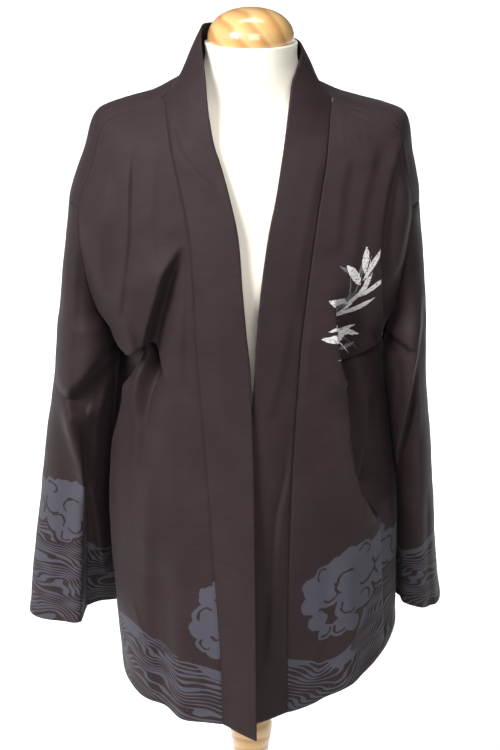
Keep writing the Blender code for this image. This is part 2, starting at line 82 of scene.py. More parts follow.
def varnished_pine(name, lean, middle):
    """Pine turned and varnished clear: broad honey bands of summer wood, fine fibres, a wet gloss."""
    # The log's lean in degrees and its middle say how the lathe cuts across its rings.
    material, tree, shader = new_material(name, 0.38)
    shader["Coat Weight"].default_value = 0.8
    shader["Coat Roughness"].default_value = 0.08
    place = add(tree, "ShaderNodeTexCoord")["Object"]
    angles = [math.radians(degrees) for degrees in lean]
    turned_to = {"Vector": place, "Rotation": angles, "Location": middle}
    log = add(tree, "ShaderNodeMapping", turned_to)[0]
    wander = add(tree, "ShaderNodeTexNoise", {"Vector": log, "Scale": 14.0, "Detail": 2.0})["Color"]
    pull = add(tree, "ShaderNodeVectorMath", {0: wander, "Scale": 0.030}, operation="SCALE")[0]
    bent = add(tree, "ShaderNodeVectorMath", {0: log, 1: pull}, operation="ADD")[0]
    # Growth rings are drawn 21 mm apart, coarser than real ones, as broad as the cap's pale bands.
    rings = {"Vector": bent, "Scale": 15.0, "Distortion": 1.2, "Detail": 2.0, "Detail Scale": 1.5}
    sawn = {"wave_type": "RINGS", "rings_direction": "Y", "wave_profile": "SAW"}
    grain = add(tree, "ShaderNodeTexWave", rings, **sawn)[1]
    colour = add(tree, "ShaderNodeValToRGB", {"Fac": grain})
    honey = [(0.0, "#dbb67c"), (0.45, "#d6aa6c"), (0.8, "#c08a4f"), (1.0, "#d3a668")]
    set_stops(colour[0].node.color_ramp, honey)
    along = add(tree, "ShaderNodeMapping", {"Vector": bent, "Scale": (900.0, 30.0, 900.0)})[0]
    fibre = add(tree, "ShaderNodeTexNoise", {"Vector": along, "Scale": 1.0, "Detail": 3.0})[0]
    pale = add(tree, "ShaderNodeMapRange", {0: fibre, 1: 0.3, 2: 0.7, 3: 0.93, 4: 1.0})[0]
    streaked = {6: colour["Color"], 7: pale, 0: 1.0}
    wood = add(tree, "ShaderNodeMix", streaked, data_type="RGBA", blend_type="MULTIPLY")[2]
    tree.links.new(wood, shader["Base Color"])
    bump = add(tree, "ShaderNodeBump", {"Height": fibre, "Strength": 0.05, "Distance": 0.0003})[0]
    tree.links.new(bump, shader["Normal"])
    return material


def shown(name, data):
    """An object with the given data, in the scene."""
    thing = bpy.data.objects.new(name, data)
    bpy.context.scene.collection.objects.link(thing)
    return thing


def skin(name, points, material, ring=False, cut=None, keep=None, joined=0, flip=False):
    """A skin over rows of points, with cut as its UV map.

    A ring goes round and is closed at both ends. Otherwise the first rows, as many as joined says,
    meet end to end. Faces are made only between the points that keep marks.
    """
    rows, across = points.shape[:2]
    number = np.arange(rows * across).reshape(rows, across)
    if joined:
        number[:joined, -1] = number[:joined, 0]
    i, j = np.meshgrid(np.arange(rows - 1), np.arange(across if ring else across - 1), indexing="ij")
    k = (j + 1) % across
    quads = np.stack([number[i, j], number[i, k], number[i + 1, k], number[i + 1, j]], -1)
    used = np.ones(i.shape, bool)
    if keep is not None:
        used = keep[i, j] & keep[i, k] & keep[i + 1, k] & keep[i + 1, j]
    faces = quads[used].tolist()
    vertices = points.reshape(-1, 3)
    if ring:
        vertices = np.concatenate([vertices, [points[0].mean(axis=0), points[-1].mean(axis=0)]])
        top = (rows - 1) * across
        for a in range(across):
            b = (a + 1) % across
            faces += [[b, a, rows * across], [top + a, top + b, rows * across + 1]]
    data = bpy.data.meshes.new(name)
    data.from_pydata(vertices.tolist(), [], faces)
    if cut is not None:
        flat = np.stack([cut[i, j], cut[i, j + 1], cut[i + 1, j + 1], cut[i + 1, j]], 2)[used].reshape(-1, 2)
        ends = np.zeros((len(data.loops) - len(flat), 2))
        layer = data.uv_layers.new(name="cut")
        layer.data.foreach_set("uv", np.concatenate([flat, ends]).ravel())
    if flip:
        data.flip_normals()
    data.shade_smooth()
    data.materials.append(material)
    return shown(name, data)


def metres(rows, plain=()):
    """A table in millimetres as one in metres. The columns in plain are no lengths and stay."""
    units = np.full(len(rows[0]), 1000.0)
    units[list(plain)] = 1.0
    return np.array(rows, float) / units


def curve_rows(table, places):
    """Rows of a table at places between its rows, on smooth curves through them."""
    table = np.asarray(table, float)
    places = np.clip(np.asarray(places, float), 0.0, len(table) - 1.0)
    low = np.minimum(places.astype(int), len(table) - 2)
    part = (places - low)[..., None]
    before, start, end, after = (table[np.clip(low + step, 0, len(table) - 1)] for step in (-1, 0, 1, 2))
    leave = (end - before) / 2
    arrive = (after - start) / 2
    return (
        (2 * part**3 - 3 * part**2 + 1) * start
        + (part**3 - 2 * part**2 + part) * leave
        + (3 * part**2 - 2 * part**3) * end
        + (part**3 - part**2) * arrive
    )


def stands_for(piece, node):
    """Puts a piece in its node's place, on the one body."""
    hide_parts(node)
    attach(piece, "root")


def turned(name, profile, steps, around, material, node):
    """A turned piece: a smooth profile of radius and height, from the bottom up, spun about the axis."""
    radius, height = curve_rows(profile, np.linspace(0, len(profile) - 1, steps)).T
    angle = np.linspace(0, 2 * math.pi, around, endpoint=False)
    level = np.broadcast_to(height[:, None], (steps, around))
    rings = np.stack([radius[:, None] * np.cos(angle), radius[:, None] * np.sin(angle), level], -1)
    stands_for(skin(name, rings, material, ring=True), node)


# Radius and height, in millimetres. Two rows close together make an edge.
FOOT = metres(
    [
        (186, 0), (187.2, 0.4), (189, 4), (190, 11), (188.5, 18), (184, 22.2), (176, 24.5),
        (174, 24.8), (38, 25),
    ]
)
POST = metres(
    [
        (33, 25.3), (34, 26), (33.8, 42), (32.2, 56), (27, 80), (21.5, 140), (20, 240), (22.5, 330),
        (26.2, 370), (30, 395), (31.2, 415), (27.5, 434), (20.3, 443), (20, 445), (20, 451),
        (20.3, 452.5), (23.9, 460), (24, 462), (24, 668), (23.8, 669.7),
    ]
)
CAP = metres(
    [
        (51, 1420.3), (53, 1420.5), (54.1, 1422), (54.5, 1425), (53.8, 1431.5), (50.8, 1439.5),
        (43.2, 1449), (32, 1456.2), (18, 1460.6), (6, 1461.9), (1, 1462),
    ]
)
stand_pine = varnished_pine("Varnished pine, long grain", (0, 90, 0), (0.0, 0.0, 0.03))
cap_pine = varnished_pine("Varnished pine, cross grain", (62, -24, 35), (0.05, 0.02, -0.02))
turned("stand_foot", FOOT, 90, 128, stand_pine, "stand_base")
turned("stand_leg", POST, 240, 96, stand_pine, "stand_post")
turned("cap_dome", CAP, 90, 128, cap_pine, "neck_cap")

# Dress form: a limbless foam body, covered with one cream jersey sleeve that is drawn tight over the
# neck. It is smooth all over, and the jacket hangs on its shoulders.

# In millimetres: heights at the wearer's right and left sides, at the front of each side and at the
# back; half widths; reach forward on each side and back. Last is roundness, 2 for an ellipse.
FORM = metres(
    [
        (670, 670, 670, 670, 670, 120, 120, 90, 90, 100, 2.2),
        (675, 675, 675, 675, 675, 145, 145, 108, 108, 118, 2.2),
        (780, 780, 780, 780, 780, 160, 160, 118, 118, 128, 2.2),
        (880, 880, 880, 880, 880, 142, 142, 110, 110, 112, 2.2),
        (970, 970, 970, 970, 970, 124, 124, 100, 100, 98, 2.2),
        (1060, 1060, 1060, 1060, 1060, 136, 136, 116, 116, 104, 2.2),
        (1140, 1140, 1130, 1130, 1150, 150, 150, 132, 132, 110, 2.2),
        (1220, 1220, 1195, 1195, 1230, 168, 168, 122, 122, 108, 2.2),
        (1283, 1282, 1243, 1243, 1282, 184, 184, 112, 112, 105, 2.2),
        (1323.2, 1322.2, 1279, 1279, 1315, 199.1, 197.5, 101, 101, 97, 2.2),
        (1338.5, 1336.5, 1300, 1300, 1336, 175.3, 173.3, 92, 92, 91, 2.1),
        (1351, 1346.5, 1325, 1325, 1360, 130, 127, 75, 75, 80, 2.0),
        (1370, 1361, 1348, 1348, 1380, 82, 81, 62, 62, 66, 2.0),
        (1395, 1395, 1385, 1385, 1398, 60, 60, 60, 60, 60, 2.0),
        (1420, 1420, 1420, 1420, 1420, 58.3, 58.3, 58.3, 58.3, 58.3, 2.0),
    ],
    plain=(10,),
)


def ring_points(shapes, side, angle):
    """Points at angles round loops of a body: 0 is centre front, 90 the side, 180 centre back."""
    columns = np.moveaxis(shapes, -1, 0)
    side_right, side_left, front_right, front_left, back = columns[:5]
    right, left, chest_right, chest_left, spine, square = columns[5:]
    on_right = side < 0
    height = np.where(on_right, side_right, side_left)
    front = np.where(on_right, front_right, front_left)
    half = np.where(on_right, right, left)
    chest = np.where(on_right, chest_right, chest_left)
    turn = np.radians(angle)
    across = np.abs(np.sin(turn)) ** (2 / square)
    along = np.abs(np.cos(turn)) ** (2 / square)
    ahead = angle < 90
    level = height + (np.where(ahead, front, back) - height) * np.cos(turn) ** 2
    return np.stack([side * half * across, np.where(ahead, -chest, spine) * along, level], -1)


def jersey(name):
    """Cream cotton jersey, knitted fine and stretched: matt, faint vertical wales, a little fuzz."""
    material, tree, shader = new_material(name, 0.85)
    shader["Sheen Weight"].default_value = 0.25
    shader["Sheen Roughness"].default_value = 0.5
    place = add(tree, "ShaderNodeTexCoord")["Object"]
    soft = add(tree, "ShaderNodeTexNoise", {"Vector": place, "Scale": 9.0, "Detail": 3.0})[0]
    colour = add(tree, "ShaderNodeValToRGB", {"Fac": soft})
    set_stops(colour[0].node.color_ramp, [(0.3, "#f2ead9"), (0.7, "#f7f0e2")])
    tree.links.new(colour["Color"], shader["Base Color"])
    # The wales are 1.2 mm apart here, twice the real width, so that they show.
    wales = add(tree, "ShaderNodeMapping", {"Vector": place, "Scale": (830.0, 830.0, 420.0)})[0]
    knit = add(tree, "ShaderNodeTexVoronoi", {"Vector": wales, "Scale": 1.0, "Randomness": 0.35})[0]
    bump = add(tree, "ShaderNodeBump", {"Height": knit, "Strength": 0.25, "Distance": 0.0003}, invert=True)[0]
    tree.links.new(bump, shader["Normal"])
    return material


spans = ((0, 2, 24), (2, 12, 110), (12, 14, 28))
form_rows = np.unique(np.concatenate([np.linspace(*span) for span in spans]))
form_angles = np.linspace(0, 360, 144, endpoint=False)
loops, around = np.meshgrid(form_rows, form_angles, indexing="ij")
form_sides = np.where(around <= 180, 1, -1)
form_points = ring_points(curve_rows(FORM, loops), form_sides, np.where(around <= 180, around, 360 - around))
body = skin("form_body", form_points, jersey("Cream cotton jersey"), ring=True)
stands_for(body, "form_torso")

# Back: one panel of thin printed polyester, cut straight and carried over the shoulders to a seam in
# front of them, with the dropped armholes in its sides. The hem is turned up once and blind stitched.

# The jacket hangs in loops numbered from the hem (0) to the neck (12), with the form's columns.
JACKET = metres(
    [
        (540, 602, 545, 538, 545, 186, 208, 200, 168, 180, 2.1),
        (646, 682, 652, 650, 655, 193, 207, 186, 164, 176, 2.1),
        (785, 797, 785, 785, 785, 198, 203, 168, 158, 166, 2.15),
        (910, 910, 905, 905, 905, 187, 190, 153, 151, 150, 2.2),
        (1030, 1030, 1030, 1030, 1030, 178, 176, 146, 146, 136, 2.2),
        (1085, 1085, 1080, 1080, 1090, 209, 193, 145, 145, 130, 2.2),
        (1145, 1145, 1135, 1135, 1160, 228, 208, 141, 141, 127, 2.2),
        (1220.5, 1220.5, 1200, 1200, 1235, 235.5, 218.3, 130, 130, 121, 2.2),
        (1285, 1284, 1245, 1245, 1285, 214, 207, 118, 118, 113, 2.2),
        (1328, 1327, 1282, 1282, 1320, 200.5, 199, 106, 106, 102, 2.2),
        (1342, 1339, 1303, 1303, 1340, 180, 178, 97, 97, 95, 2.1),
        (1354, 1349, 1328, 1328, 1364, 134, 131, 80, 80, 84, 2.0),
        (1376, 1365.5, 1352, 1352, 1385, 90, 88, 60, 60, 70, 2.0),
    ],
    plain=(10,),
)
UNDERARM, DROP, FRONT_TOP, NECK_POINT, NECK = 4.0, 7.0, 11.3, 11.4, 12.0
FORWARD_SEAM, ARMHOLE_BACK = 67.0, 113.0

# Loop, and the armhole's front and back edges as angles.
ARMHOLE = ((4.0, 90.0, 90.0), (4.4, 80.0, 99.0), (5.0, 74.0, 106.0), (6.0, 70.0, 110.0), (7.0, 67.0, 113.0))

# Soft folds that run straight from (loop, angle) to (loop, angle), negative angles on the wearer's
# right: where, how wide, and how far they stand out.
HANG = (
    (6.2, -24, 3.6, -48, 8, -0.007), (6.4, -34, 3.8, -60, 8, 0.005), (8.6, -45, 4.8, -57, 6, 0.003),
    (3.4, -62, 1.2, -50, 9, -0.006), (1.6, -24, -0.5, -27, 7, 0.006), (2, -38, -0.5, -41, 8, -0.008),
    (6.5, 26, 3.6, 38, 7, 0.006), (3.6, 38, 1.6, 50, 7, 0.006), (6, 38, 3, 50, 8, -0.006),
    (8.8, 60, 5.6, 56, 7, 0.008), (2, 24, -0.5, 26, 8, -0.006), (8, -140, 1, -132, 9, 0.006),
    (7, -158, 0, -154, 9, -0.006), (8, 142, 1, 136, 9, 0.006), (6.5, 160, 0, 158, 9, -0.006),
)
# How far the cloth strays from smooth, and the straight steps that a fold's path is followed in.
CRUMPLE = 0.0004
FOLD_STEPS = 29
CLOTH_THICK = 0.0007


def by_key(table, key):
    """Rows of a table whose first column rises, at values of that first column."""
    keys = [row[0] for row in table]
    return curve_rows(table, np.interp(key, keys, range(len(keys))))


def fold_lift(folds, place, angle):
    """How far the folds lift the cloth at places along it and angles round it."""
    total = np.zeros(np.broadcast(place, angle).shape)
    for place_a, angle_a, place_b, angle_b, width, height in folds:
        run = (place - place_a) / (place_b - place_a)
        fade = np.clip((1.0 - np.abs(run - 0.5) * 2) * 3, 0.0, 1.0)
        away = (angle - angle_a - (angle_b - angle_a) * run) / width
        total += height * fade * np.exp(-(away**2))
    return total


def trunk(side, loop, angle):
    """Points of the jacket's body at loops and angles."""
    shapes = curve_rows(JACKET, loop)
    points = ring_points(shapes, side, angle)
    size = np.maximum(np.where(side < 0, shapes[..., 5], shapes[..., 6]), shapes[..., 7])
    points[..., :2] *= (1.0 + fold_lift(HANG, loop, side * angle) / size)[..., None]
    return points


def outward(points, centre):
    """The unit normals of rows of points, away from a centre."""
    normals = np.cross(np.gradient(points, axis=1), np.gradient(points, axis=0))
    normals /= np.linalg.norm(normals, axis=-1, keepdims=True) + 1e-12
    out = points - centre
    return normals * np.sign((normals * out).sum(-1).mean())


def eased(value):
    """A smooth step from 0 to 1."""
    value = np.clip(value, 0.0, 1.0)
    return value**2 * (3 - 2 * value)


def folded(points, centre, folds, facing=-1, held=6, straight=0.0):
    """Lifts cloth into folds that are drawn on its front (facing -1) or its back (1), between seams.

    A fold, in millimetres, is its path in x and z on the front view, its rise, its width on the soft
    side, how steeply it falls on its path's left hand, and the depth and width of the trough there.
    """
    normals = outward(points, centre)
    place = points[..., (0, 2)]
    lift = np.zeros(points.shape[:2])
    for path, *sizes in folds:
        rise, wide, steep, trough, shade = (size / 1000 for size in sizes)
        line = curve_rows(metres(path), np.linspace(0, len(path) - 1, FOLD_STEPS + 1))
        away = np.full(lift.shape, 9.0)
        share = np.zeros(lift.shape)
        for i, (start, run) in enumerate(zip(line, np.diff(line, axis=0))):
            offset = place - start
            along = np.clip((offset @ run) / (run @ run), 0.0, 1.0)
            offset = offset - along[..., None] * run
            distance = np.hypot(offset[..., 0], offset[..., 1])
            distance = np.copysign(distance, run[0] * offset[..., 1] - run[1] * offset[..., 0])
            closer = np.abs(distance) < np.abs(away)
            away = np.where(closer, distance, away)
            share = np.where(closer, (i + along) / FOLD_STEPS, share)
        soft = rise * np.exp(-((np.abs(away) / wide) ** 1.6))
        hard = (rise + trough) * np.exp(-((away / steep) ** 2)) - trough * np.exp(-((away / shade) ** 2))
        lift += np.where(away > 0, hard, soft) * eased(share * 5) * eased((1 - share) * 5)
    columns = np.arange(points.shape[1])
    lift *= eased(np.minimum(columns, columns[::-1]) / held) * np.clip(normals[..., 1] * facing * 3, 0.0, 1.0)
    way = normals * (1 - straight) + np.array((0.0, facing, 0.0)) * straight
    return points + way * lift[..., None]


def crumpled(points, centre):
    """A faint unevenness, a few centimetres across, that cloth always has."""
    x, y, z = np.moveaxis(points, -1, 0)
    wave = np.sin(61 * x + 23 * z + 1.7) * np.sin(47 * z - 31 * y + 0.4)
    wave += 0.6 * np.sin(118 * x - 67 * z + 2.1) * np.sin(93 * z + 71 * y)
    return points + outward(points, centre) * (CRUMPLE * wave)[..., None]


def tucked(points, centre, reach, drop):
    """One more row past the last one, turned under the piece that the cloth is sewn to."""
    normals = outward(points, centre)
    ahead = points[-1] - points[-2]
    ahead /= np.linalg.norm(ahead, axis=-1, keepdims=True) + 1e-12
    under = points[-1] + ahead * reach - normals[-1] * drop
    points = points.copy()
    points[-1] -= normals[-1] * drop * 0.6
    return np.concatenate([points, under[None]])


def measured(points, start=0, level=False):
    """Distances across the rows from a starting column, and up the columns, as a UV map.

    When it is level, each row lies as high as it does in the starting column.
    """
    steps = np.linalg.norm(np.diff(points, axis=1), axis=-1)
    across = np.concatenate([np.zeros((len(points), 1)), np.cumsum(steps, axis=1)], axis=1)
    across -= across[:, start : start + 1]
    rises = np.linalg.norm(np.diff(points, axis=0), axis=-1)
    up = np.concatenate([np.zeros((1, points.shape[1])), np.cumsum(rises, axis=0)])
    if level:
        up = np.broadcast_to(up[:, start : start + 1], up.shape)
    return np.stack([across, up], -1)


def even_loops(low, high, count):
    """Loops from low to high at even heights."""
    heights = curve_rows(JACKET, np.linspace(low, high, 400))[:, 0]
    return np.interp(np.linspace(heights[0], heights[-1], count), heights, np.linspace(low, high, 400))


def jacket_cloth(name, foam=(), crest=None, sprays=()):
    """Thin polyester, woven plain and dyed brown black: matt, with a weak sheen where it turns away."""
    material, tree, shader = new_material(name, 0.66)
    shader["Sheen Weight"].default_value = 0.04
    shader["Sheen Roughness"].default_value = 0.3
    shader["Specular IOR Level"].default_value = 0.15
    cut = add(tree, "ShaderNodeUVMap", uv_map="cut")["UV"]
    cloudy = add(tree, "ShaderNodeTexNoise", {"Vector": cut, "Scale": 14.0, "Detail": 3.0})[0]
    # Slubs: threads that are thicker for a few centimetres, mostly across the cloth.
    slubs = add(tree, "ShaderNodeMapping", {"Vector": cut, "Scale": (25.0, 700.0, 1.0)})[0]
    slub = add(tree, "ShaderNodeTexNoise", {"Vector": slubs, "Scale": 1.0, "Detail": 2.0})[0]
    both = add(tree, "ShaderNodeMath", {0: cloudy, 1: slub}, operation="ADD")[0]
    dyed = add(tree, "ShaderNodeMapRange", {0: both, 1: 0.6, 2: 1.4})[0]
    colour = add(tree, "ShaderNodeValToRGB", {"Fac": dyed})
    set_stops(colour[0].node.color_ramp, [(0.0, "#291f20"), (1.0, "#33282a")])
    prints = [(printed_water(tree, cut, foam, crest), "#494750")] if crest else []
    prints += [(printed_spray(tree, cut, spray), ink) for spray, ink in sprays]
    inked = colour["Color"]
    for share, ink in prints:
        inked = add(tree, "ShaderNodeMix", {0: share, 6: inked, 7: linear(ink)}, data_type="RGBA")[2]
    tree.links.new(inked, shader["Base Color"])
    # Threads are 0.6 mm apart here, about twice the real spacing, so that they show.
    apart = {"Vector": cut, "Scale": 500.0, "Distortion": 0.4, "Detail": 0.0}
    warp = add(tree, "ShaderNodeTexWave", apart, bands_direction="X")[1]
    weft = add(tree, "ShaderNodeTexWave", apart, bands_direction="Y")[1]
    weave = add(tree, "ShaderNodeMath", {0: warp, 1: weft}, operation="MAXIMUM")[0]
    woven = add(tree, "ShaderNodeMath", {0: weave, 1: slub}, operation="ADD")[0]
    bump = add(tree, "ShaderNodeBump", {"Height": woven, "Strength": 0.2, "Distance": 0.0002})[0]
    tree.links.new(bump, shader["Normal"])
    return material


def ragged(tree, cut, scale, detail, reach):
    """The cloth's UV map pushed about by noise, so that what is printed by it has uneven edges."""
    noise = add(tree, "ShaderNodeTexNoise", {"Vector": cut, "Scale": scale, "Detail": detail})["Color"]
    shift = add(tree, "ShaderNodeVectorMath", {0: noise, 1: (0.5, 0.5, 0.5)}, operation="SUBTRACT")[0]
    shift = add(tree, "ShaderNodeVectorMath", {0: shift, "Scale": reach}, operation="SCALE")[0]
    return add(tree, "ShaderNodeVectorMath", {0: cut, 1: shift}, operation="ADD")[0]


def printed_water(tree, cut, foam, crest):
    """Ink of a hem print: streaming water lines under a crest line, and rounded foam with curls."""
    drawn = ragged(tree, cut, 70.0, 1.0, 0.010)
    flat = add(tree, "ShaderNodeSeparateXYZ", {0: cut})
    width, height, points = crest
    span = add(tree, "ShaderNodeMapRange", {0: flat[0], 1: width[0], 2: width[1]})[0]
    line = add(tree, "ShaderNodeFloatCurve", {"Value": span})[0]
    curve = line.node.mapping.curves[0]
    while len(curve.points) < len(points):
        curve.points.new(0.5, 0.5)
    for point, (place, level) in zip(curve.points, points):
        point.location = (place, level)
    line.node.mapping.update()
    top = add(tree, "ShaderNodeMath", {0: line, 1: height}, operation="MULTIPLY")[0]
    depth = add(tree, "ShaderNodeMath", {0: top, 1: flat[1]}, operation="SUBTRACT")[0]
    # Water lines are about 7 mm apart, and noise that is stretched along them makes them part and meet.
    along = add(tree, "ShaderNodeMapping", {"Vector": cut, "Scale": (13.0, 34.0, 1.0)})[0]
    drift = add(tree, "ShaderNodeTexNoise", {"Vector": along, "Scale": 1.0, "Detail": 0.6})[0]
    strands = add(tree, "ShaderNodeMath", {0: depth, 1: 145.0}, operation="MULTIPLY")[0]
    strands = add(tree, "ShaderNodeMath", {0: drift, 1: 7.0, 2: strands}, operation="MULTIPLY_ADD")[0]
    for operation, value in (("FRACT", 0.0), ("SUBTRACT", 0.5), ("ABSOLUTE", 0.0)):
        strands = add(tree, "ShaderNodeMath", {0: strands, 1: value}, operation=operation)[0]
    brush = {"Vector": along, "Scale": 2.3, "Detail": 0.0, "W": 4.0}
    thick = add(tree, "ShaderNodeTexNoise", brush, noise_dimensions="4D")[0]
    thick = add(tree, "ShaderNodeMapRange", {0: thick, 1: 0.3, 2: 0.7, 3: 0.10, 4: 0.36})[0]
    water = add(tree, "ShaderNodeMath", {0: strands, 1: thick}, operation="LESS_THAN")[0]
    # A broad swell of ink lies along the crest in places.
    swell = add(tree, "ShaderNodeMapRange", {0: drift, 1: 0.45, 2: 0.75, 3: 0.0, 4: 0.028})[0]
    swelling = add(tree, "ShaderNodeMath", {0: depth, 1: swell}, operation="LESS_THAN")[0]
    water = add(tree, "ShaderNodeMath", {0: water, 1: swelling}, operation="MAXIMUM")[0]
    below = add(tree, "ShaderNodeMath", {0: depth, 1: 0.0}, operation="GREATER_THAN")[0]
    water = add(tree, "ShaderNodeMath", {0: water, 1: below}, operation="MULTIPLY")[0]
    if not foam:
        return water
    rim = None
    curls = None
    for u, v, radius, look_u, look_v in metres(foam, plain=(3, 4)).tolist():
        away = add(tree, "ShaderNodeVectorMath", {0: drawn, 1: (u, v, 0.0)}, operation="DISTANCE")["Value"]
        edge = add(tree, "ShaderNodeMath", {0: away, 1: radius}, operation="SUBTRACT")[0]
        near = {0: edge, 1: rim, 2: 0.004} if rim else {0: edge, 1: 1.0, 2: 0.0}
        rim = add(tree, "ShaderNodeMath", near, operation="SMOOTH_MIN")[0]
        # A round carries a dark curl on the side that it looks to, or none where it looks nowhere.
        band = add(tree, "ShaderNodeMath", {0: away, 1: radius * 0.60, 2: 0.0015}, operation="COMPARE")[0]
        offset = add(tree, "ShaderNodeVectorMath", {0: drawn, 1: (-u, -v, 0.0)}, operation="ADD")[0]
        looks = {0: offset, 1: (look_u, look_v, 0.0)}
        facing = add(tree, "ShaderNodeVectorMath", looks, operation="DOT_PRODUCT")["Value"]
        half = add(tree, "ShaderNodeMath", {0: facing, 1: 0.0}, operation="GREATER_THAN")[0]
        curl = add(tree, "ShaderNodeMath", {0: band, 1: half}, operation="MULTIPLY")[0]
        curls = add(tree, "ShaderNodeMath", {0: curl, 1: curls or 0.0}, operation="MAXIMUM")[0]
    inside = add(tree, "ShaderNodeMath", {0: rim, 1: 0.0}, operation="LESS_THAN")[0]
    foamy = add(tree, "ShaderNodeMath", {0: inside, 1: curls}, operation="SUBTRACT", use_clamp=True)[0]
    apart = add(tree, "ShaderNodeMath", {0: rim, 1: 0.0045}, operation="GREATER_THAN")[0]
    water = add(tree, "ShaderNodeMath", {0: water, 1: apart}, operation="MULTIPLY")[0]
    return add(tree, "ShaderNodeMath", {0: foamy, 1: water}, operation="MAXIMUM")[0]


def printed_spray(tree, cut, spray):
    """Ink of a brushed leaf spray, one stroke to a row."""
    drawn = ragged(tree, cut, 260.0, 3.0, 0.0032)
    nearest = None
    for u, v, degrees, length, width in metres(spray, plain=(2,)).tolist():
        turn = math.radians(degrees)
        middle = (u + math.cos(turn) * length / 2, v + math.sin(turn) * length / 2, 0.0)
        stroke = {"Vector": drawn, "Location": middle, "Rotation": (0, 0, turn)}
        stroke["Scale"] = (length / 2, width / 2, 1.0)
        own = add(tree, "ShaderNodeMapping", stroke, vector_type="TEXTURE")[0]
        flat = add(tree, "ShaderNodeSeparateXYZ", {0: own})
        along = add(tree, "ShaderNodeMath", {0: flat[0], 1: flat[0]}, operation="MULTIPLY")[0]
        across = add(tree, "ShaderNodeMath", {0: flat[1]}, operation="ABSOLUTE")[0]
        shape = add(tree, "ShaderNodeMath", {0: along, 1: across}, operation="ADD")[0]
        nearest = add(tree, "ShaderNodeMath", {0: shape, 1: nearest or 9.0}, operation="MINIMUM")[0]
    inside = add(tree, "ShaderNodeMath", {0: nearest, 1: 1.0}, operation="LESS_THAN")[0]
    # A dry brush leaves bare streaks.
    streaks = {"Vector": cut, "Scale": (240.0, 900.0, 1.0), "Rotation": (0, 0, 0.9)}
    dry = add(tree, "ShaderNodeMapping", streaks)[0]
    bare = add(tree, "ShaderNodeTexNoise", {"Vector": dry, "Scale": 1.0, "Detail": 2.0})[0]
    wet = add(tree, "ShaderNodeMath", {0: bare, 1: 0.6}, operation="LESS_THAN")[0]
    return add(tree, "ShaderNodeMath", {0: inside, 1: wet}, operation="MULTIPLY")[0]


def sewn(piece, node, thick=CLOTH_THICK):
    """Gives a cloth piece its thickness and puts it in its node's place."""
    if thick:
        wall = piece.modifiers.new("Wall", "SOLIDIFY")
        wall.thickness = thick
        wall.offset = 0.0
    stands_for(piece, node)


back_loops = np.unique(np.concatenate([even_loops(0, DROP, 170), even_loops(DROP, NECK, 70)]))
over = back_loops >= DROP - 1e-6
edge = np.where(over, ARMHOLE_BACK, by_key(ARMHOLE, back_loops)[:, 2])
edge = np.where(back_loops <= UNDERARM, 90.0, edge)
rise = np.clip((back_loops - NECK_POINT) / (NECK - NECK_POINT), 0, 1)
shoulder_edge = FORWARD_SEAM + (90.0 - FORWARD_SEAM) * rise
BACK_HALF, BACK_SHOULDER = 84, 34
half_angles = 180.0 + (edge[:, None] - 180.0) * np.linspace(0, 1, BACK_HALF + 1)
strip = ARMHOLE_BACK + (shoulder_edge[:, None] - ARMHOLE_BACK) * np.linspace(0, 1, BACK_SHOULDER + 1)[1:]
half_angles = np.concatenate([half_angles, np.where(over[:, None], strip, edge[:, None])], axis=1)
angles = np.concatenate([half_angles[:, :0:-1], half_angles], axis=1)
sides = np.concatenate([-np.ones(half_angles.shape[1] - 1), np.ones(half_angles.shape[1])])
loops = np.broadcast_to(back_loops[:, None], angles.shape)
back_points = trunk(np.broadcast_to(sides, angles.shape), loops, angles)
far = np.abs(np.arange(angles.shape[1]) - half_angles.shape[1] + 1) > BACK_HALF
keep = over[:, None] | ~far[None, :]
BACK_FOLDS = (
    (((-30, 1300), (-52, 1100), (-60, 900)), 2, 14, 8, 1.5, 16),
    (((70, 860), (52, 1080), (35, 1290)), 2, 14, 8, 1.5, 16),
    (((-170, 1200), (-140, 1100), (-90, 980)), 4, 18, 8, 2.5, 16),
    (((85, 960), (135, 1080), (168, 1200)), 4, 18, 8, 2.5, 16),
    (((-105, 900), (-118, 740), (-122, 500)), 4, 18, 10, 3, 20),
    (((120, 500), (114, 700), (100, 880)), 4, 18, 10, 3, 20),
    (((12, 840), (4, 700), (0, 500)), 3, 26, 18, 2, 26),
)
trunk_axis = np.array((0.0, 0.0, 0.95))
back_points = folded(back_points, trunk_axis, BACK_FOLDS, facing=1)
back_points = crumpled(back_points, trunk_axis)
back_cut = measured(back_points, half_angles.shape[1] - 1, level=True)
# In millimetres: u and v of each round's middle, and its radius. Then where its curl looks.
BACK_FOAM = (
    (-120, 115, 22, 1, 1), (-96, 132, 18, 1, 0), (-84, 106, 20, -1, 1), (62, 85, 20, -1, 1),
    (86, 104, 24, -1, 0), (112, 90, 16, 1, 1),
)
# The crest line's span in u, its full height, and its points as shares of both.
BACK_CREST = (
    (-0.28, 0.28), 0.20,
    ((0.0, 0.55), (0.22, 0.3), (0.4, 0.42), (0.62, 0.22), (0.85, 0.5), (1.0, 0.6)),
)
back_cloth = jacket_cloth("Printed polyester, back", BACK_FOAM, BACK_CREST)
back = skin("back_panel", back_points, back_cloth, cut=back_cut, keep=keep, flip=True)
sewn(back, "back")

# Fronts: two straight panels of the same cloth, from the collar band's seam to the side seam, with a
# dropped armhole each. Their tops meet the back in a seam that lies forward of the shoulder.

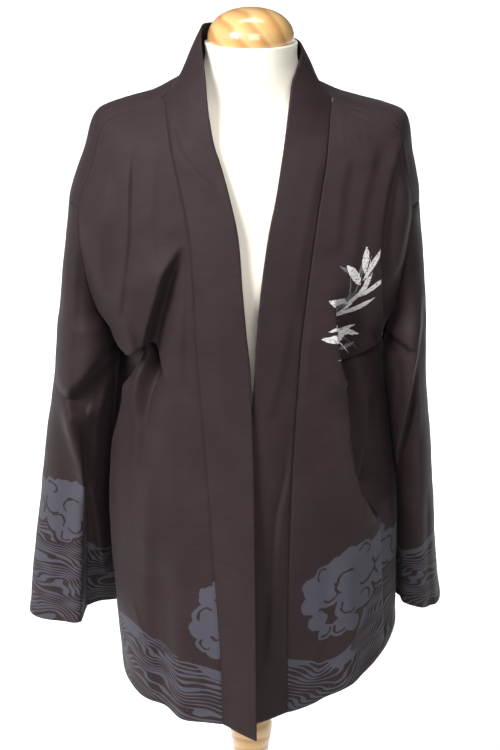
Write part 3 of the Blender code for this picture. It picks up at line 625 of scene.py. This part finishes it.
# Loop; then in millimetres how far across the collar seam lies, and x, y and z of the free edge.
COLLAR_RIGHT = metres(
    [
        (0.0, 38, 7, -232, 543), (1.0, 41.3, 6, -212, 652), (2.0, 50, 4.5, -186, 783),
        (3.0, 57.3, 3, -164, 904), (4.0, 66, -1.5, -155, 1031), (5.0, 69, -6, -153, 1081),
        (6.0, 71.5, -10.8, -150, 1137), (7.0, 76, -16, -137, 1203), (8.0, 85.5, -26, -123, 1249),
        (9.0, 95, -37, -108, 1287), (10.0, 100, -46, -97, 1313), (11.0, 106, -53, -82, 1352),
        (11.4, 109, -56, -64, 1385),
    ],
    plain=(0,),
)
COLLAR_LEFT = metres(
    [
        (0.0, 49.7, -6, -190, 537), (1.0, 49.2, -4, -180, 650), (2.0, 50, -2, -169, 784),
        (3.0, 53.5, -1, -155, 904), (4.0, 60.4, 5, -150, 1031), (5.0, 64, 8, -149, 1081),
        (6.0, 70, 12.5, -147, 1137), (7.0, 78.5, 21.5, -134, 1203), (8.0, 86, 31, -120, 1249),
        (9.0, 92.5, 37.5, -106, 1288), (10.0, 95, 41.5, -96, 1314), (11.0, 98.5, 46.5, -80, 1353),
        (11.4, 100.5, 50, -60, 1379),
    ],
    plain=(0,),
)
# The turned-up hem, in rows of the mesh, the thickness of its second layer and its stitched dent.
HEM_ROWS = 5
HEM_LAYER = 0.0005
HEM_DENT = 0.0003
# The wearer's right front is on the picture's left, where the light comes from.
FOLDS_RIGHT = (
    # The long fold that is dragged from the band seam to the underarm.
    (
        (
            (-86, 1196), (-108, 1156), (-118, 1126), (-128, 1090), (-138, 1050), (-145, 1005),
            (-148, 940),
        ),
        9.5, 26, 5, 20, 20,
    ),
    # The knot of cloth over the underarm, and the hollow beneath it.
    (((-136, 1058), (-152, 1048), (-168, 1040), (-192, 1020)), 10, 18, 6, 38, 36),
    (((-164, 1094), (-152, 1076), (-146, 1056), (-148, 1036)), 3, 8, 4, 4, 7),
    # The front's own edge, which falls back to the side under the sleeve.
    (((-198, 790), (-191, 865), (-177, 918), (-165, 965), (-153, 1018), (-146, 1050)), 5, 12, 5, 42, 30),
    (((-146, 1030), (-145, 980), (-147, 920), (-158, 860)), 3.5, 9, 5, 6, 10),
    (((-150, 866), (-164, 862), (-184, 860)), 1.4, 5, 3, 1.6, 6),
    # Pleats that fall from the shoulder seam.
    (((-149, 1310), (-152, 1240), (-154, 1190), (-160, 1140), (-170, 1070)), 2.4, 13, 3.5, 2.2, 10),
    (((-137, 1346), (-139, 1330), (-141, 1316)), 1, 3, 2, 0.8, 3),
    (((-178, 1270), (-184, 1200), (-190, 1120)), 2, 16, 10, 2, 14),
    (((-120, 1300), (-124, 1220), (-120, 1150)), 1, 12, 8, 1.2, 14),
    (((-84, 1170), (-88, 1100), (-90, 1000)), 1.2, 6, 6, 2.2, 10),
    (((-112, 1060), (-108, 950), (-100, 820)), 1.6, 14, 12, 1.6, 18),
    # The skirt: soft flutes and one sharp crease over the print.
    (((-130, 900), (-140, 780), (-142, 640), (-138, 530)), 3.5, 20, 12, 3.5, 22),
    (((-96, 800), (-100, 680), (-94, 520)), 2.5, 18, 14, 2, 22),
    (((-162, 688), (-147, 653), (-135, 624), (-127, 580)), 1.2, 6, 2.5, 1.4, 6),
    (((-82, 640), (-71, 613), (-62, 585)), 0.8, 6, 3, 1, 6),
)
FOLDS_LEFT = (
    # The long fold from the chest down to the side, over a deep hollow.
    (
        (
            (103, 1130), (106, 1083), (110, 1032), (119, 978), (128, 912), (140, 862), (152, 830),
            (166, 800),
        ),
        9, 34, 4, 52, 36,
    ),
    (((172, 1046), (140, 1028), (114, 1000)), 8, 18, 5, 14, 20),
    # The side, which turns away into the shade of the sleeve.
    (((164, 1000), (166, 900), (169, 830), (174, 750), (180, 650), (184, 600)), 3, 10, 4, 20, 18),
    # The drape in front of the armhole.
    (
        (
            (187, 1330), (184, 1307), (172, 1270), (164, 1233), (159, 1197), (158, 1163), (163, 1110),
            (170, 1050),
        ),
        5.5, 24, 6, 13, 16,
    ),
    (((152, 1310), (134, 1230), (120, 1130)), 2, 14, 9, 1.8, 14),
    (((118, 1300), (108, 1240), (104, 1180)), 1.2, 10, 8, 1.4, 12),
    # Puckers under the shoulder seam.
    (((112, 1349), (113, 1330), (112, 1312)), 0.8, 3.5, 2.5, 0.6, 3.5),
    (((121, 1346), (122, 1330), (120, 1314)), 0.8, 3.5, 2.5, 0.6, 3.5),
    (((131, 1343), (132, 1326), (130, 1308)), 0.8, 3.5, 2.5, 0.6, 3.5),
    (((142, 1340), (143, 1326), (141, 1312)), 0.8, 3.5, 2.5, 0.6, 3.5),
    # The skirt: soft flutes and a line pressed across it.
    (((84, 760), (86, 640), (84, 520)), 2.5, 18, 14, 2.5, 20),
    (((128, 760), (136, 650), (140, 530)), 2.5, 16, 12, 2.5, 20),
    (((170, 658), (106, 676), (46, 688)), 0.5, 3, 2, 0.5, 3),
)


def seam_angle(side, loops):
    """The angles at which the collar band is sewn to a front."""
    across = by_key(COLLAR_RIGHT if side < 0 else COLLAR_LEFT, loops)[..., 1]
    shapes = curve_rows(JACKET, loops)
    share = across / shapes[..., 5 if side < 0 else 6]
    return np.degrees(np.arcsin(np.clip(share ** (shapes[..., 10] / 2), 0, 1)))


def hemmed(points, centre):
    """Thickens the turned-up hem by its second layer, with a dent where it is stitched down."""
    rise = np.zeros(len(points))
    rise[:HEM_ROWS] = HEM_LAYER
    rise[HEM_ROWS] = -HEM_DENT
    return points + outward(points, centre) * rise[:, None, None]


def front_points(side, folds):
    """A front's points, from the hem up and from the band seam out, and its UV map before it folds."""
    loops = even_loops(0, FRONT_TOP, 290)
    outer = np.where(loops < DROP, by_key(ARMHOLE, loops)[:, 1], FORWARD_SEAM)
    outer = np.where(loops <= UNDERARM, 90.0, outer)
    inner = seam_angle(side, loops)
    angles = inner[:, None] + (outer - inner)[:, None] * np.linspace(0, 1, 104)
    flat = trunk(np.full(angles.shape, side), np.broadcast_to(loops[:, None], angles.shape), angles)
    points = folded(flat, trunk_axis, folds)
    points = hemmed(crumpled(points, trunk_axis), trunk_axis)
    return seamed(points), measured(seamed(flat))


def seamed(points):
    """A front with its top, side and band edges turned under the pieces that it is sewn to."""
    points = tucked(points, trunk_axis, 0.004, 0.0012)
    points = np.swapaxes(tucked(np.swapaxes(points, 0, 1), trunk_axis, 0.003, 0.0010), 0, 1)
    return np.swapaxes(tucked(np.swapaxes(points, 0, 1)[::-1], trunk_axis, 0.003, 0.0018), 0, 1)


# Both run from the side seam to the band seam, so u is counted from the side seam.
FRONT_RIGHT_FOAM = (
    (262, 196, 16, 0, 0), (244, 182, 16, 0, 0), (242, 156, 18, -1, 1), (236, 136, 14, 0, 0),
    (262, 166, 24, 1, 1), (246, 116, 14, -1, -1), (262, 134, 22, 1, -1), (258, 104, 11, 0, 0),
)
FRONT_RIGHT_CREST = (
    (0.0, 0.27), 0.18,
    ((0.0, 0.88), (0.14, 0.50), (0.30, 0.58), (0.47, 0.61), (0.61, 0.53), (0.77, 0.50), (1.0, 0.42)),
)
FRONT_LEFT_FOAM = (
    (214, 152, 16, 0, 0), (212, 177, 15, 0, 0), (196, 188, 15, 1, 1), (180, 195, 13, 0, 0),
    (160, 197, 16, 0, 0), (136, 194, 16, -1, 1), (112, 188, 18, 0, 0), (88, 178, 18, 1, 1),
    (190, 160, 22, -1, -1), (162, 164, 26, 1, 1), (130, 160, 28, -1, -1), (98, 152, 26, 1, 1),
    (68, 148, 24, -1, 1), (40, 138, 24, 1, -1), (206, 124, 14, 0, 0), (196, 102, 12, -1, -1),
    (176, 102, 14, 1, -1), (160, 128, 20, 1, -1), (156, 96, 12, 0, 0), (132, 122, 16, -1, 1),
)
FRONT_LEFT_CREST = (
    (0.0, 0.27), 0.20,
    ((0, 0.85), (0.18, 0.8), (0.34, 0.72), (0.45, 0.6), (0.58, 0.34), (0.7, 0.28), (0.84, 0.36), (1, 0.45)),
)
# Root u and v in millimetres, angle, and length and width in millimetres, of each stroke.
LEAF_SPRAY = (
    (106, 458, 100, 150, 4.4), (102, 506, 56, 40, 10.5), (101, 512, 20, 46, 11),
    (99, 520, 150, 40, 10), (97, 542, 116, 44, 10), (96, 547, 36, 48, 11), (94, 554, 168, 38, 9),
    (92, 574, 60, 42, 10), (90, 578, 132, 40, 9), (88, 586, 92, 36, 9), (103, 490, 200, 34, 8),
    (103, 494, 338, 38, 8.5), (105, 474, 146, 36, 7), (105, 476, 22, 40, 8), (98, 532, 4, 36, 7),
)
# A fainter spray behind it, of thin stems and blades.
LEAF_SHADE = (
    (90, 458, 82, 146, 3), (120, 476, 104, 130, 3), (92, 486, 34, 32, 4), (94, 502, 64, 38, 4),
    (114, 512, 128, 36, 4.2), (114, 498, 164, 28, 4), (96, 536, 78, 36, 3.8), (108, 546, 142, 32, 4),
    (106, 562, 24, 30, 4), (100, 578, 112, 36, 4), (102, 590, 50, 32, 3.8), (88, 522, 2, 26, 3.6),
    (86, 470, 352, 28, 3.8), (116, 486, 206, 24, 3.6),
)
fronts = {}
for side, name, node, folds, foam, crest, sprays in (
    (-1, "front_panel_right", "front_right", FOLDS_RIGHT, FRONT_RIGHT_FOAM, FRONT_RIGHT_CREST, ()),
    (
        1, "front_panel_left", "front_left", FOLDS_LEFT, FRONT_LEFT_FOAM, FRONT_LEFT_CREST,
        ((LEAF_SHADE, "#6c6a6f"), (LEAF_SPRAY, "#cfccca")),
    ),
):
    points, cut = front_points(side, folds)
    fronts[side] = points
    cloth = jacket_cloth("Printed polyester, " + node.replace("_", " "), foam, crest, sprays)
    panel = skin(name, points, cloth, cut=cut, flip=side > 0)
    sewn(panel, node)

# Sleeves: two straight tubes of the printed cloth, sewn to the dropped armholes and open at the cuffs.
# They hang from the shoulder, and each is tucked in towards the body below the elbow.

# Over the armhole, arcs: loop; inner and outer places across, depth and middle in millimetres; and
# half the arc as an angle.
SLEEVE_TOP_RIGHT = metres(
    [
        (4.0, 180.5, 260, 72, 0, 180.0), (5.0, 192, 253.5, 62, 0, 138.0),
        (6.0, 196, 246, 56, 0, 102.0), (7.0, 209, 235.5, 46, 0, 90.0),
    ],
    plain=(0, 5),
)
SLEEVE_TOP_LEFT = metres(
    [
        (4.0, 178.5, 234.5, 76, 4, 180.0), (5.0, 182, 232, 66, 2, 132.0),
        (6.0, 184, 226, 56, 0, 102.0), (7.0, 193, 218.3, 46, 0, 90.0),
    ],
    plain=(0, 5),
)
# Below it, rings in millimetres: height, inner and outer places across, depth, middle, tilt.
SLEEVE_RIGHT = metres(
    [
        (1010, 182.5, 263, 75, 4, 0), (968, 186.5, 268, 76, 10, 0), (890, 193.5, 282.5, 70, 20, 0),
        (790, 202, 297.5, 62, 26, 0), (700, 199, 312, 56, 28, -5), (604, 193.5, 324, 52, 28, -8),
    ]
)
SLEEVE_LEFT = metres(
    [
        (1010, 180.5, 236.2, 80, 8, 0), (968, 186.5, 238.1, 84, 14, 0), (880, 196, 248.9, 80, 24, 0),
        (780, 206.5, 258.7, 76, 34, 0), (700, 209, 266.2, 73, 44, 0), (620, 212, 278, 70, 52, -6),
    ]
)
# Soft folds as in HANG, from height and angle to height and angle.
SLEEVE_HANG_RIGHT = (
    (0.960, 70.0, 0.830, 116.0, 16.0, 0.012),
    (0.870, 114.0, 0.560, 98.0, 16.0, 0.014),
)
SLEEVE_HANG_LEFT = (
    (1.080, 62.0, 0.900, 80.0, 14.0, 0.006),
    (0.820, 60.0, 0.560, 66.0, 14.0, -0.006),
)
# The tuck from the elbow to the cuff: height in millimetres, the angle of its edge, and how far it is
# folded in, in millimetres.
TUCK_RIGHT = metres(
    [(560, 103, 44), (626, 105, 44), (740, 111, 34), (820, 114, 18), (870, 106, 6), (930, 95, 0)],
    plain=(1,),
)
TUCK_LEFT = metres([(560, 124, 18), (740, 126, 14), (900, 130, 0)], plain=(1,))
FOLDS_SLEEVE_RIGHT = (
    # The hollow under the knot, and the cloth that curls up at its end over the elbow.
    (((-172, 1046), (-196, 1026), (-216, 1008), (-236, 988), (-256, 966)), 11, 26, 20, 40, 34),
    (((-256, 962), (-240, 951), (-228, 944), (-218, 940), (-208, 952)), 3, 16, 5, 5, 10),
    (((-190, 990), (-204, 930), (-211, 860), (-216, 790)), 7, 22, 10, 20, 18),
    # The crease that leads down into the tuck: the cloth turns to the light on its inner side.
    (((-226, 800), (-230, 864), (-237, 901), (-245, 946)), 5.5, 24, 8, 1.5, 14),
    (((-218, 830), (-216, 740), (-213, 650)), 13, 9, 9, 0, 10),
    # Long soft folds down the outside.
    (((-226, 1180), (-232, 1100), (-240, 1000), (-246, 900)), 3, 12, 8, 3, 12),
    (((-262, 880), (-276, 760), (-288, 620)), 1.4, 14, 10, 1.4, 14),
)
FOLDS_SLEEVE_LEFT = (
    (((212, 1036), (200, 1044), (186, 1049), (168, 1048)), 4, 16, 3, 14, 14),
    # The long fold across the elbow.
    (((221, 1110), (217, 1050), (209, 993), (203, 930), (196, 870), (190, 800)), 9, 20, 4, 13, 18),
    (((180, 1060), (183, 1130), (186, 1210)), 4, 15, 6, 9, 12),
    (((190, 1010), (190, 960), (186, 900)), 2.5, 6, 4, 3, 6),
    (((236, 1150), (232, 1050), (236, 940)), 1.6, 10, 8, 1.6, 12),
    (((226, 900), (232, 780), (240, 660)), 1.8, 14, 10, 1.8, 14),
)
SLEEVE_ACROSS = 150
# Columns lie closer together across the front, where the tuck has its sharp edge.
sleeve_share = np.interp(np.linspace(0, 1, SLEEVE_ACROSS + 1), (0, 0.16, 0.46, 1), (0, 0.165, 0.30, 1))
SLEEVE_OUTER = int(np.abs(sleeve_share - 0.5).argmin())
ARC_ROWS = 54
RING_ROWS = 150
# How near a sleeve hangs to the jacket's side, the gap from which it hangs free, the height where that
# starts, and how far the sleeve's edges stand off the armhole above it.
SIDE_CLEAR = 0.0014
SIDE_FREE = 0.034
SIDE_TOP = 1.040
EDGE_CLEAR = 0.0025
# A point inside each sleeve, which tells its outer face.
sleeve_centres = {side: np.array((side * 0.235, 0.0, 0.85)) for side in (-1, 1)}


def drawn_in(points, side):
    """Draws a sleeve's inner side in until it hangs just off the jacket's side."""
    loops = np.linspace(0, UNDERARM, 200)
    heights = curve_rows(JACKET, loops)[:, 0 if side < 0 else 1]
    shapes = curve_rows(JACKET, np.interp(points[..., 2], heights, loops))
    half = shapes[..., 5 if side < 0 else 6]
    reach = np.where(points[..., 1] < 0, shapes[..., 7 if side < 0 else 8], shapes[..., 9])
    square = shapes[..., 10]
    edge = half * np.clip(1 - (np.abs(points[..., 1]) / reach) ** square, 0, 1) ** (1 / square)
    gap = side * points[..., 0] - edge
    closed = SIDE_CLEAR + np.maximum(gap - SIDE_CLEAR, 0) * eased(gap / SIDE_FREE)
    points = points.copy()
    points[..., 0] += side * (closed - gap) * eased((SIDE_TOP - points[..., 2]) / 0.03)
    return points


def sleeve_rows(side, inner, outer, middle, reach, turn, level):
    """Rows round a sleeve, between its inner and outer places across and as far as it reaches."""
    across = (inner + outer) / 2 + (outer - inner) / 2 * np.cos(turn)
    ahead = np.sign(np.sin(turn)) * np.abs(np.sin(turn)) ** 0.9
    return np.stack([side * across, middle - reach * ahead, level], -1)


def sleeve_points(side, top, low, hang, tuck, folds):
    """A sleeve's points, from the cuff up, round from its inner front by the outside to its back."""
    share = sleeve_share
    loops = np.linspace(DROP, UNDERARM, ARC_ROWS)
    _, inner, outer, depth, middle, span = by_key(top, loops).T[:, :, None]
    hole = by_key(ARMHOLE, loops)
    places = (hole[:, 1], np.full(ARC_ROWS, 90.0), hole[:, 2])
    ends = [trunk(np.full(ARC_ROWS, side), loops, place) for place in places]
    # Near the underarm the sleeve's edges stand a little off the armhole.
    beside = np.clip(1 - (loops - UNDERARM) / 1.3, 0, 1)
    for end in (ends[0], ends[2]):
        end[:, 0] += side * EDGE_CLEAR * beside
    level = np.stack([np.interp(share, (0, 0.5, 1), [end[i, 2] for end in ends]) for i in range(ARC_ROWS)])
    arcs = sleeve_rows(side, inner, outer, middle, depth, np.radians(span * (1 - 2 * share)), level)
    from_front = np.clip(1 - 2.5 * share, 0, 1)[None, :, None] ** 1.5
    from_back = np.clip(2.5 * share - 1.5, 0, 1)[None, :, None] ** 1.5
    arcs = arcs + (ends[0] - arcs[:, 0])[:, None] * from_front + (ends[2] - arcs[:, -1])[:, None] * from_back
    places = np.linspace(0, len(low) - 1, RING_ROWS)
    height, inner, outer, depth, middle, tilt = curve_rows(low, places).T[:, :, None]
    angle = 180.0 - 360.0 * share[None, :]
    turn = np.radians(angle)
    edge, into = by_key(tuck, height)[..., 1:].transpose(2, 0, 1)
    past = eased((angle - edge) / 4.0)
    reach = depth + fold_lift(hang, height, angle) - into * past
    rings = sleeve_rows(side, inner, outer, middle, reach, turn, height + tilt * np.cos(turn))
    points = np.concatenate([arcs, rings])
    # The rows where the arcs meet the rings are smoothed into one another.
    for _ in range(30):
        bend = np.diff(points[ARC_ROWS - 9 : ARC_ROWS + 9], n=2, axis=0)
        points[ARC_ROWS - 8 : ARC_ROWS + 8] += 0.25 * bend
    points[ARC_ROWS:] = drawn_in(points[ARC_ROWS:], side)
    points = points[::-1]
    centre = sleeve_centres[side]
    points = folded(points, centre, folds, straight=1.0)
    points = hemmed(crumpled(points, centre), centre)
    points[:RING_ROWS, -1] = points[:RING_ROWS, 0]
    return tucked(points, centre, 0.004, 0.0010)


CUFF_RIGHT_FOAM = (
    (-100, 224, 18, 0, 0), (-78, 226, 16, 0, 0), (-56, 222, 16, -1, 1), (-34, 212, 16, 0, 0),
    (-12, 200, 16, 0, 0), (10, 186, 16, 1, 1), (-92, 198, 24, 1, 1), (-60, 196, 24, 1, -1),
    (-30, 184, 22, -1, 1), (-96, 168, 22, -1, -1), (-68, 170, 18, -1, 1), (-82, 148, 14, 1, -1),
    (26, 168, 18, -1, 1), (52, 150, 18, 0, 0), (80, 134, 20, 1, 1),
)
CUFF_RIGHT_CREST = (
    (-0.22, 0.22), 0.25,
    ((0, 0.4), (0.12, 0.42), (0.22, 0.6), (0.34, 0.74), (0.48, 0.72), (0.64, 0.58), (0.82, 0.48), (1, 0.4)),
)
CUFF_LEFT_FOAM = (
    (70, 98, 18, 1, 1), (95, 112, 20, -1, 1),
)
CUFF_LEFT_CREST = (
    (-0.22, 0.22), 0.20, ((0.0, 0.6), (0.2, 0.5), (0.4, 0.62), (0.6, 0.48), (0.8, 0.58), (1.0, 0.6))
)
sleeves = {}
for side, name, node, shape, folds, foam, crest in (
    (
        -1, "sleeve_tube_right", "sleeve_right",
        (SLEEVE_TOP_RIGHT, SLEEVE_RIGHT, SLEEVE_HANG_RIGHT, TUCK_RIGHT),
        FOLDS_SLEEVE_RIGHT, CUFF_RIGHT_FOAM, CUFF_RIGHT_CREST,
    ),
    (
        1, "sleeve_tube_left", "sleeve_left",
        (SLEEVE_TOP_LEFT, SLEEVE_LEFT, SLEEVE_HANG_LEFT, TUCK_LEFT),
        FOLDS_SLEEVE_LEFT, CUFF_LEFT_FOAM, CUFF_LEFT_CREST,
    ),
):
    points = sleeve_points(side, *shape, folds)
    sleeves[side] = points
    cut = measured(points, SLEEVE_OUTER, level=True)
    cloth = jacket_cloth("Printed polyester, " + node.replace("_", " "), foam, crest)
    tube = skin(name, points, cloth, cut=cut, joined=RING_ROWS, flip=side < 0)
    sewn(tube, node)

# Collar: a straight band of the plain cloth, cut double, folded along its free edge and sewn to the
# fronts and round the neck. It stands up round the neck and lies on the chest below it.

# Round the neck from the shoulder to centre back: the angle, and the free edge's place in millimetres.
NECK_RIGHT = metres([(90, -62.5, -4, 1433), (135, -49, 50, 1436), (180, 0, 73, 1426)], plain=(0,))
NECK_LEFT = metres([(90, 63.5, -4, 1412), (135, 49, 50, 1419), (180, 0, 73, 1426)], plain=(0,))
BAND_THICK = 0.0024
BAND_LAP = 0.003
BAND_ROLL = 0.0018
BAND_ACROSS = 22
FOLDS_BAND_RIGHT = (
    # The drag from the neck point across the band.
    (((-100, 1345), (-92, 1309), (-77, 1287), (-57, 1269), (-36, 1250)), 1.6, 10, 6, 3.4, 13),
    (((-82, 1350), (-70, 1368), (-56, 1388)), 0.8, 4, 3, 0.8, 4),
    (((-50, 1150), (-36, 1020), (-30, 880)), 0.8, 10, 10, 0.8, 14),
    # The top of the band's turned-up end.
    (((10, 579), (-16, 585), (-44, 600)), 1.2, 4, 3, 1, 6),
)
FOLDS_BAND_LEFT = (
    (((18, 600), (26, 680), (34, 777), (39, 836), (50, 891), (56, 950)), 1.8, 14, 3, 3, 10),
    (((46, 1110), (36, 1036), (16, 960)), 1, 10, 8, 1.8, 14),
    (((85, 1300), (64, 1200), (52, 1120)), 1, 8, 8, 1, 12),
)


def band_points(side, front_rows, neck_rows, folds):
    """The band's middle surface: rows up the front edge and round the neck, seam to free edge."""
    loops = even_loops(0, FRONT_TOP, 230)
    angles = seam_angle(side, loops)
    frees = by_key(front_rows, loops)[:, 2:]
    neck_angles = np.concatenate([np.linspace(FORWARD_SEAM, 90, 10)[1:], np.linspace(90, 180, 36)[1:]])
    rise = np.clip((neck_angles - FORWARD_SEAM) / (90 - FORWARD_SEAM), 0, 1)
    neck_table = ((FORWARD_SEAM, *front_rows[-1][2:]), *neck_rows)
    loops = np.concatenate([loops, NECK_POINT + (NECK - NECK_POINT) * rise])
    angles = np.concatenate([angles, neck_angles])
    frees = np.concatenate([frees, by_key(neck_table, neck_angles)[:, 1:]])
    sides = np.full(len(loops), side)
    seams = trunk(sides, loops, angles)
    low = np.maximum(loops - 0.02, 0)
    up_it = trunk(sides, low + 0.02, angles) - trunk(sides, low, angles)
    round_it = trunk(sides, loops, angles + 0.5) - seams
    ahead = np.gradient(seams, axis=0)
    way = np.cross(ahead, np.cross(round_it, up_it))
    way /= np.linalg.norm(way, axis=-1, keepdims=True)
    way *= np.sign(((frees - seams) * way).sum(-1))[:, None]
    for _ in range(12):
        way[1:-1] = (way[:-2] + 2 * way[1:-1] + way[2:]) / 4
    lap = seams + way * BAND_LAP
    share = np.linspace(0, 1, BAND_ACROSS + 1)[None, :, None]
    middle = lap[:, None] + (frees - lap)[:, None] * share
    middle = np.concatenate([seams[:, None], middle], axis=1)
    middle[-1, :, 0] = side * 0.0003
    share = np.concatenate([[0.0], share.ravel()])
    middle += outward(middle, trunk_axis) * (BAND_ROLL * np.sin(math.pi * share))[None, :, None]
    return folded(middle, trunk_axis, folds, held=3)


for side, name, node, rows, neck, folds in (
    (-1, "band_right", "collar_right", COLLAR_RIGHT, NECK_RIGHT, FOLDS_BAND_RIGHT),
    (1, "band_left", "collar_left", COLLAR_LEFT, NECK_LEFT, FOLDS_BAND_LEFT),
):
    middle = band_points(side, rows, neck, folds)
    normals = outward(middle, trunk_axis)
    fold = middle[:, -1] + (middle[:, -1] - middle[:, -2]) * 0.35
    # The band is pressed thin where it is sewn.
    pressed = np.interp(np.arange(middle.shape[1]), (0, 1, 2), (0.3, 0.8, 1.0))
    half = normals * BAND_THICK / 2 * pressed[:, None]
    points = np.concatenate([middle + half, fold[:, None], (middle - half)[:, ::-1]], axis=1)
    cut = measured(np.concatenate([points, points[:, :1]], axis=1), level=True)
    cloth = jacket_cloth("Plain polyester, " + node.replace("_", " "))
    band = skin(name, points, cloth, ring=True, cut=cut, flip=side < 0)
    sewn(band, node, thick=0)

# Hem stitches: a dark thread that catches a few threads of cloth at a time, round the hem and cuffs.

THREAD_THICK = 0.0005
STITCH_LONG = 0.0022
STITCH_APART = 0.0075
thread, tree, shader = new_material("Polyester sewing thread, dark", 0.5)
twist = add(tree, "ShaderNodeTexCoord")["Object"]
shade = add(tree, "ShaderNodeTexNoise", {"Vector": twist, "Scale": 900.0})[0]
shaded = add(tree, "ShaderNodeValToRGB", {"Fac": shade})
set_stops(shaded[0].node.color_ramp, [(0.3, "#2a2124"), (0.7, "#3d3237")])
tree.links.new(shaded["Color"], shader["Base Color"])


def hem_line(points, centre):
    """The line along which a hem is stitched, just off the cloth's outer face."""
    return (points + outward(points, centre) * THREAD_THICK)[HEM_ROWS]


lines = [
    hem_line(back_points, trunk_axis)[BACK_SHOULDER:-BACK_SHOULDER],
    hem_line(fronts[-1], trunk_axis)[2:-2],
    hem_line(fronts[1], trunk_axis)[2:-2],
    hem_line(sleeves[-1], sleeve_centres[-1]),
    hem_line(sleeves[1], sleeve_centres[1]),
]
data = bpy.data.meshes.new("hem_stitches")
vertices, edges = [], []
for line in lines:
    edges += [(len(vertices) + i, len(vertices) + i + 1) for i in range(len(line) - 1)]
    vertices += line.tolist()
data.from_pydata(vertices, edges, [])
path = shown("hem_path", data)

tree = bpy.data.node_groups.new("Stitches along a line", "GeometryNodeTree")
tree.interface.new_socket("Line", in_out="INPUT", socket_type="NodeSocketGeometry")
chosen = {}
for label, kind, value in (
    ("Stitch length", "NodeSocketFloat", STITCH_LONG),
    ("Spacing", "NodeSocketFloat", STITCH_APART),
    ("Thread thickness", "NodeSocketFloat", THREAD_THICK),
    ("Seed", "NodeSocketInt", 4),
):
    socket = tree.interface.new_socket(label, in_out="INPUT", socket_type=kind)
    chosen[socket.identifier] = value
tree.interface.new_socket("Stitches", in_out="OUTPUT", socket_type="NodeSocketGeometry")
given = add(tree, "NodeGroupInput")
curve = add(tree, "GeometryNodeMeshToCurve", {0: given["Line"]})[0]
marks = add(tree, "GeometryNodeCurveToPoints", {"Curve": curve, "Length": given["Spacing"]}, mode="LENGTH")
bead = {"Vertices": 6, "Radius": given["Thread thickness"], "Depth": given["Stitch length"]}
stitch = add(tree, "GeometryNodeMeshCylinder", bead)[0]
lying = add(tree, "FunctionNodeAlignRotationToVector", {"Vector": marks["Tangent"]}, axis="Z")[0]
uneven = {0: (0.7, 0.7, 0.8), 1: (0.9, 0.9, 1.2), "Seed": given["Seed"]}
size = add(tree, "FunctionNodeRandomValue", uneven, data_type="FLOAT_VECTOR")[0]
placed = {"Points": marks["Points"], "Instance": stitch, "Rotation": lying, "Scale": size}
rows = add(tree, "GeometryNodeInstanceOnPoints", placed)[0]
real = add(tree, "GeometryNodeRealizeInstances", {0: rows})[0]
finished = add(tree, "GeometryNodeSetMaterial", {"Geometry": real, "Material": thread})[0]
add(tree, "NodeGroupOutput", {0: finished})
sewing = path.modifiers.new("Sewing", "NODES")
sewing.node_group = tree
for identifier, value in chosen.items():
    sewing[identifier] = value
sewn_path = path.evaluated_get(bpy.context.evaluated_depsgraph_get())
stitches = shown("hem_stitches", bpy.data.meshes.new_from_object(sewn_path))
bpy.data.objects.remove(path)
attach(stitches, "root")

# Floor and light: a near-white floor, a soft key lamp high on the camera's left, a weaker one over the
# camera, a wide lamp that washes the floor behind the jacket white, and a weak white surround.

floor_data = bpy.data.meshes.new("floor")
floor_data.from_pydata([(-9, -1, 0), (9, -1, 0), (9, 16, 0), (-9, 16, 0)], [], [(0, 1, 2, 3)])
floor = shown("floor", floor_data)
paper, tree, shader = new_material("Matt white paper", 0.9)
place = add(tree, "ShaderNodeTexCoord")["Object"]
tone = add(tree, "ShaderNodeTexNoise", {"Vector": place, "Scale": 0.6})[0]
toned = add(tree, "ShaderNodeValToRGB", {"Fac": tone})
set_stops(toned[0].node.color_ramp, [(0.0, "#f6f6f6"), (1.0, "#fafafa")])
tree.links.new(toned["Color"], shader["Base Color"])
floor_data.materials.append(paper)

# Name, place, aim, width and depth, power, and how far the light spreads.
for name, place, aim, size, power, spread in (
    ("key", (-2.0, -1.9, 3.0), (0.0, 0.0, 1.0), (1.3, 1.3), 160.0, 180.0),
    ("fill", (0.4, -2.5, 2.7), (0.0, 0.0, 1.0), (1.4, 1.4), 54.0, 180.0),
    ("floor wash", (0.0, 7.5, 6.0), (0.0, 7.501, 0.0), (16.0, 14.0), 1100.0, 50.0),
):
    lamp = bpy.data.lights.new(name, "AREA")
    lamp.shape = "RECTANGLE"
    lamp.size, lamp.size_y = size
    lamp.energy = power
    lamp.spread = math.radians(spread)
    holder = shown(name, lamp)
    holder.location = place
    towards = np.array(aim) - np.array(place)
    flat = math.hypot(towards[0], towards[1])
    holder.rotation_euler = (math.atan2(flat, -towards[2]), 0, math.atan2(-towards[0], towards[1]))
world = bpy.data.worlds.new("White surround")
bpy.context.scene.world = world
world.use_nodes = True
world.node_tree.nodes["Background"].inputs["Color"].default_value = linear("#ffffff")
world.node_tree.nodes["Background"].inputs["Strength"].default_value = 0.12

# Camera: level with a standing eye, looking down at the jacket, on the photograph's upright frame.

camera = bpy.data.cameras.new("camera")
camera.sensor_fit = "VERTICAL"
camera.sensor_height = 36
camera.lens = 72
camera.shift_x = -1 / 750
viewpoint = shown("camera", camera)
viewpoint.location = (0.0, -1.9, 1.72)
viewpoint.rotation_euler = (math.radians(90 - 21.5), 0.0, 0.0)
bpy.context.scene.camera = viewpoint
bpy.context.scene.view_settings.view_transform = "Standard"
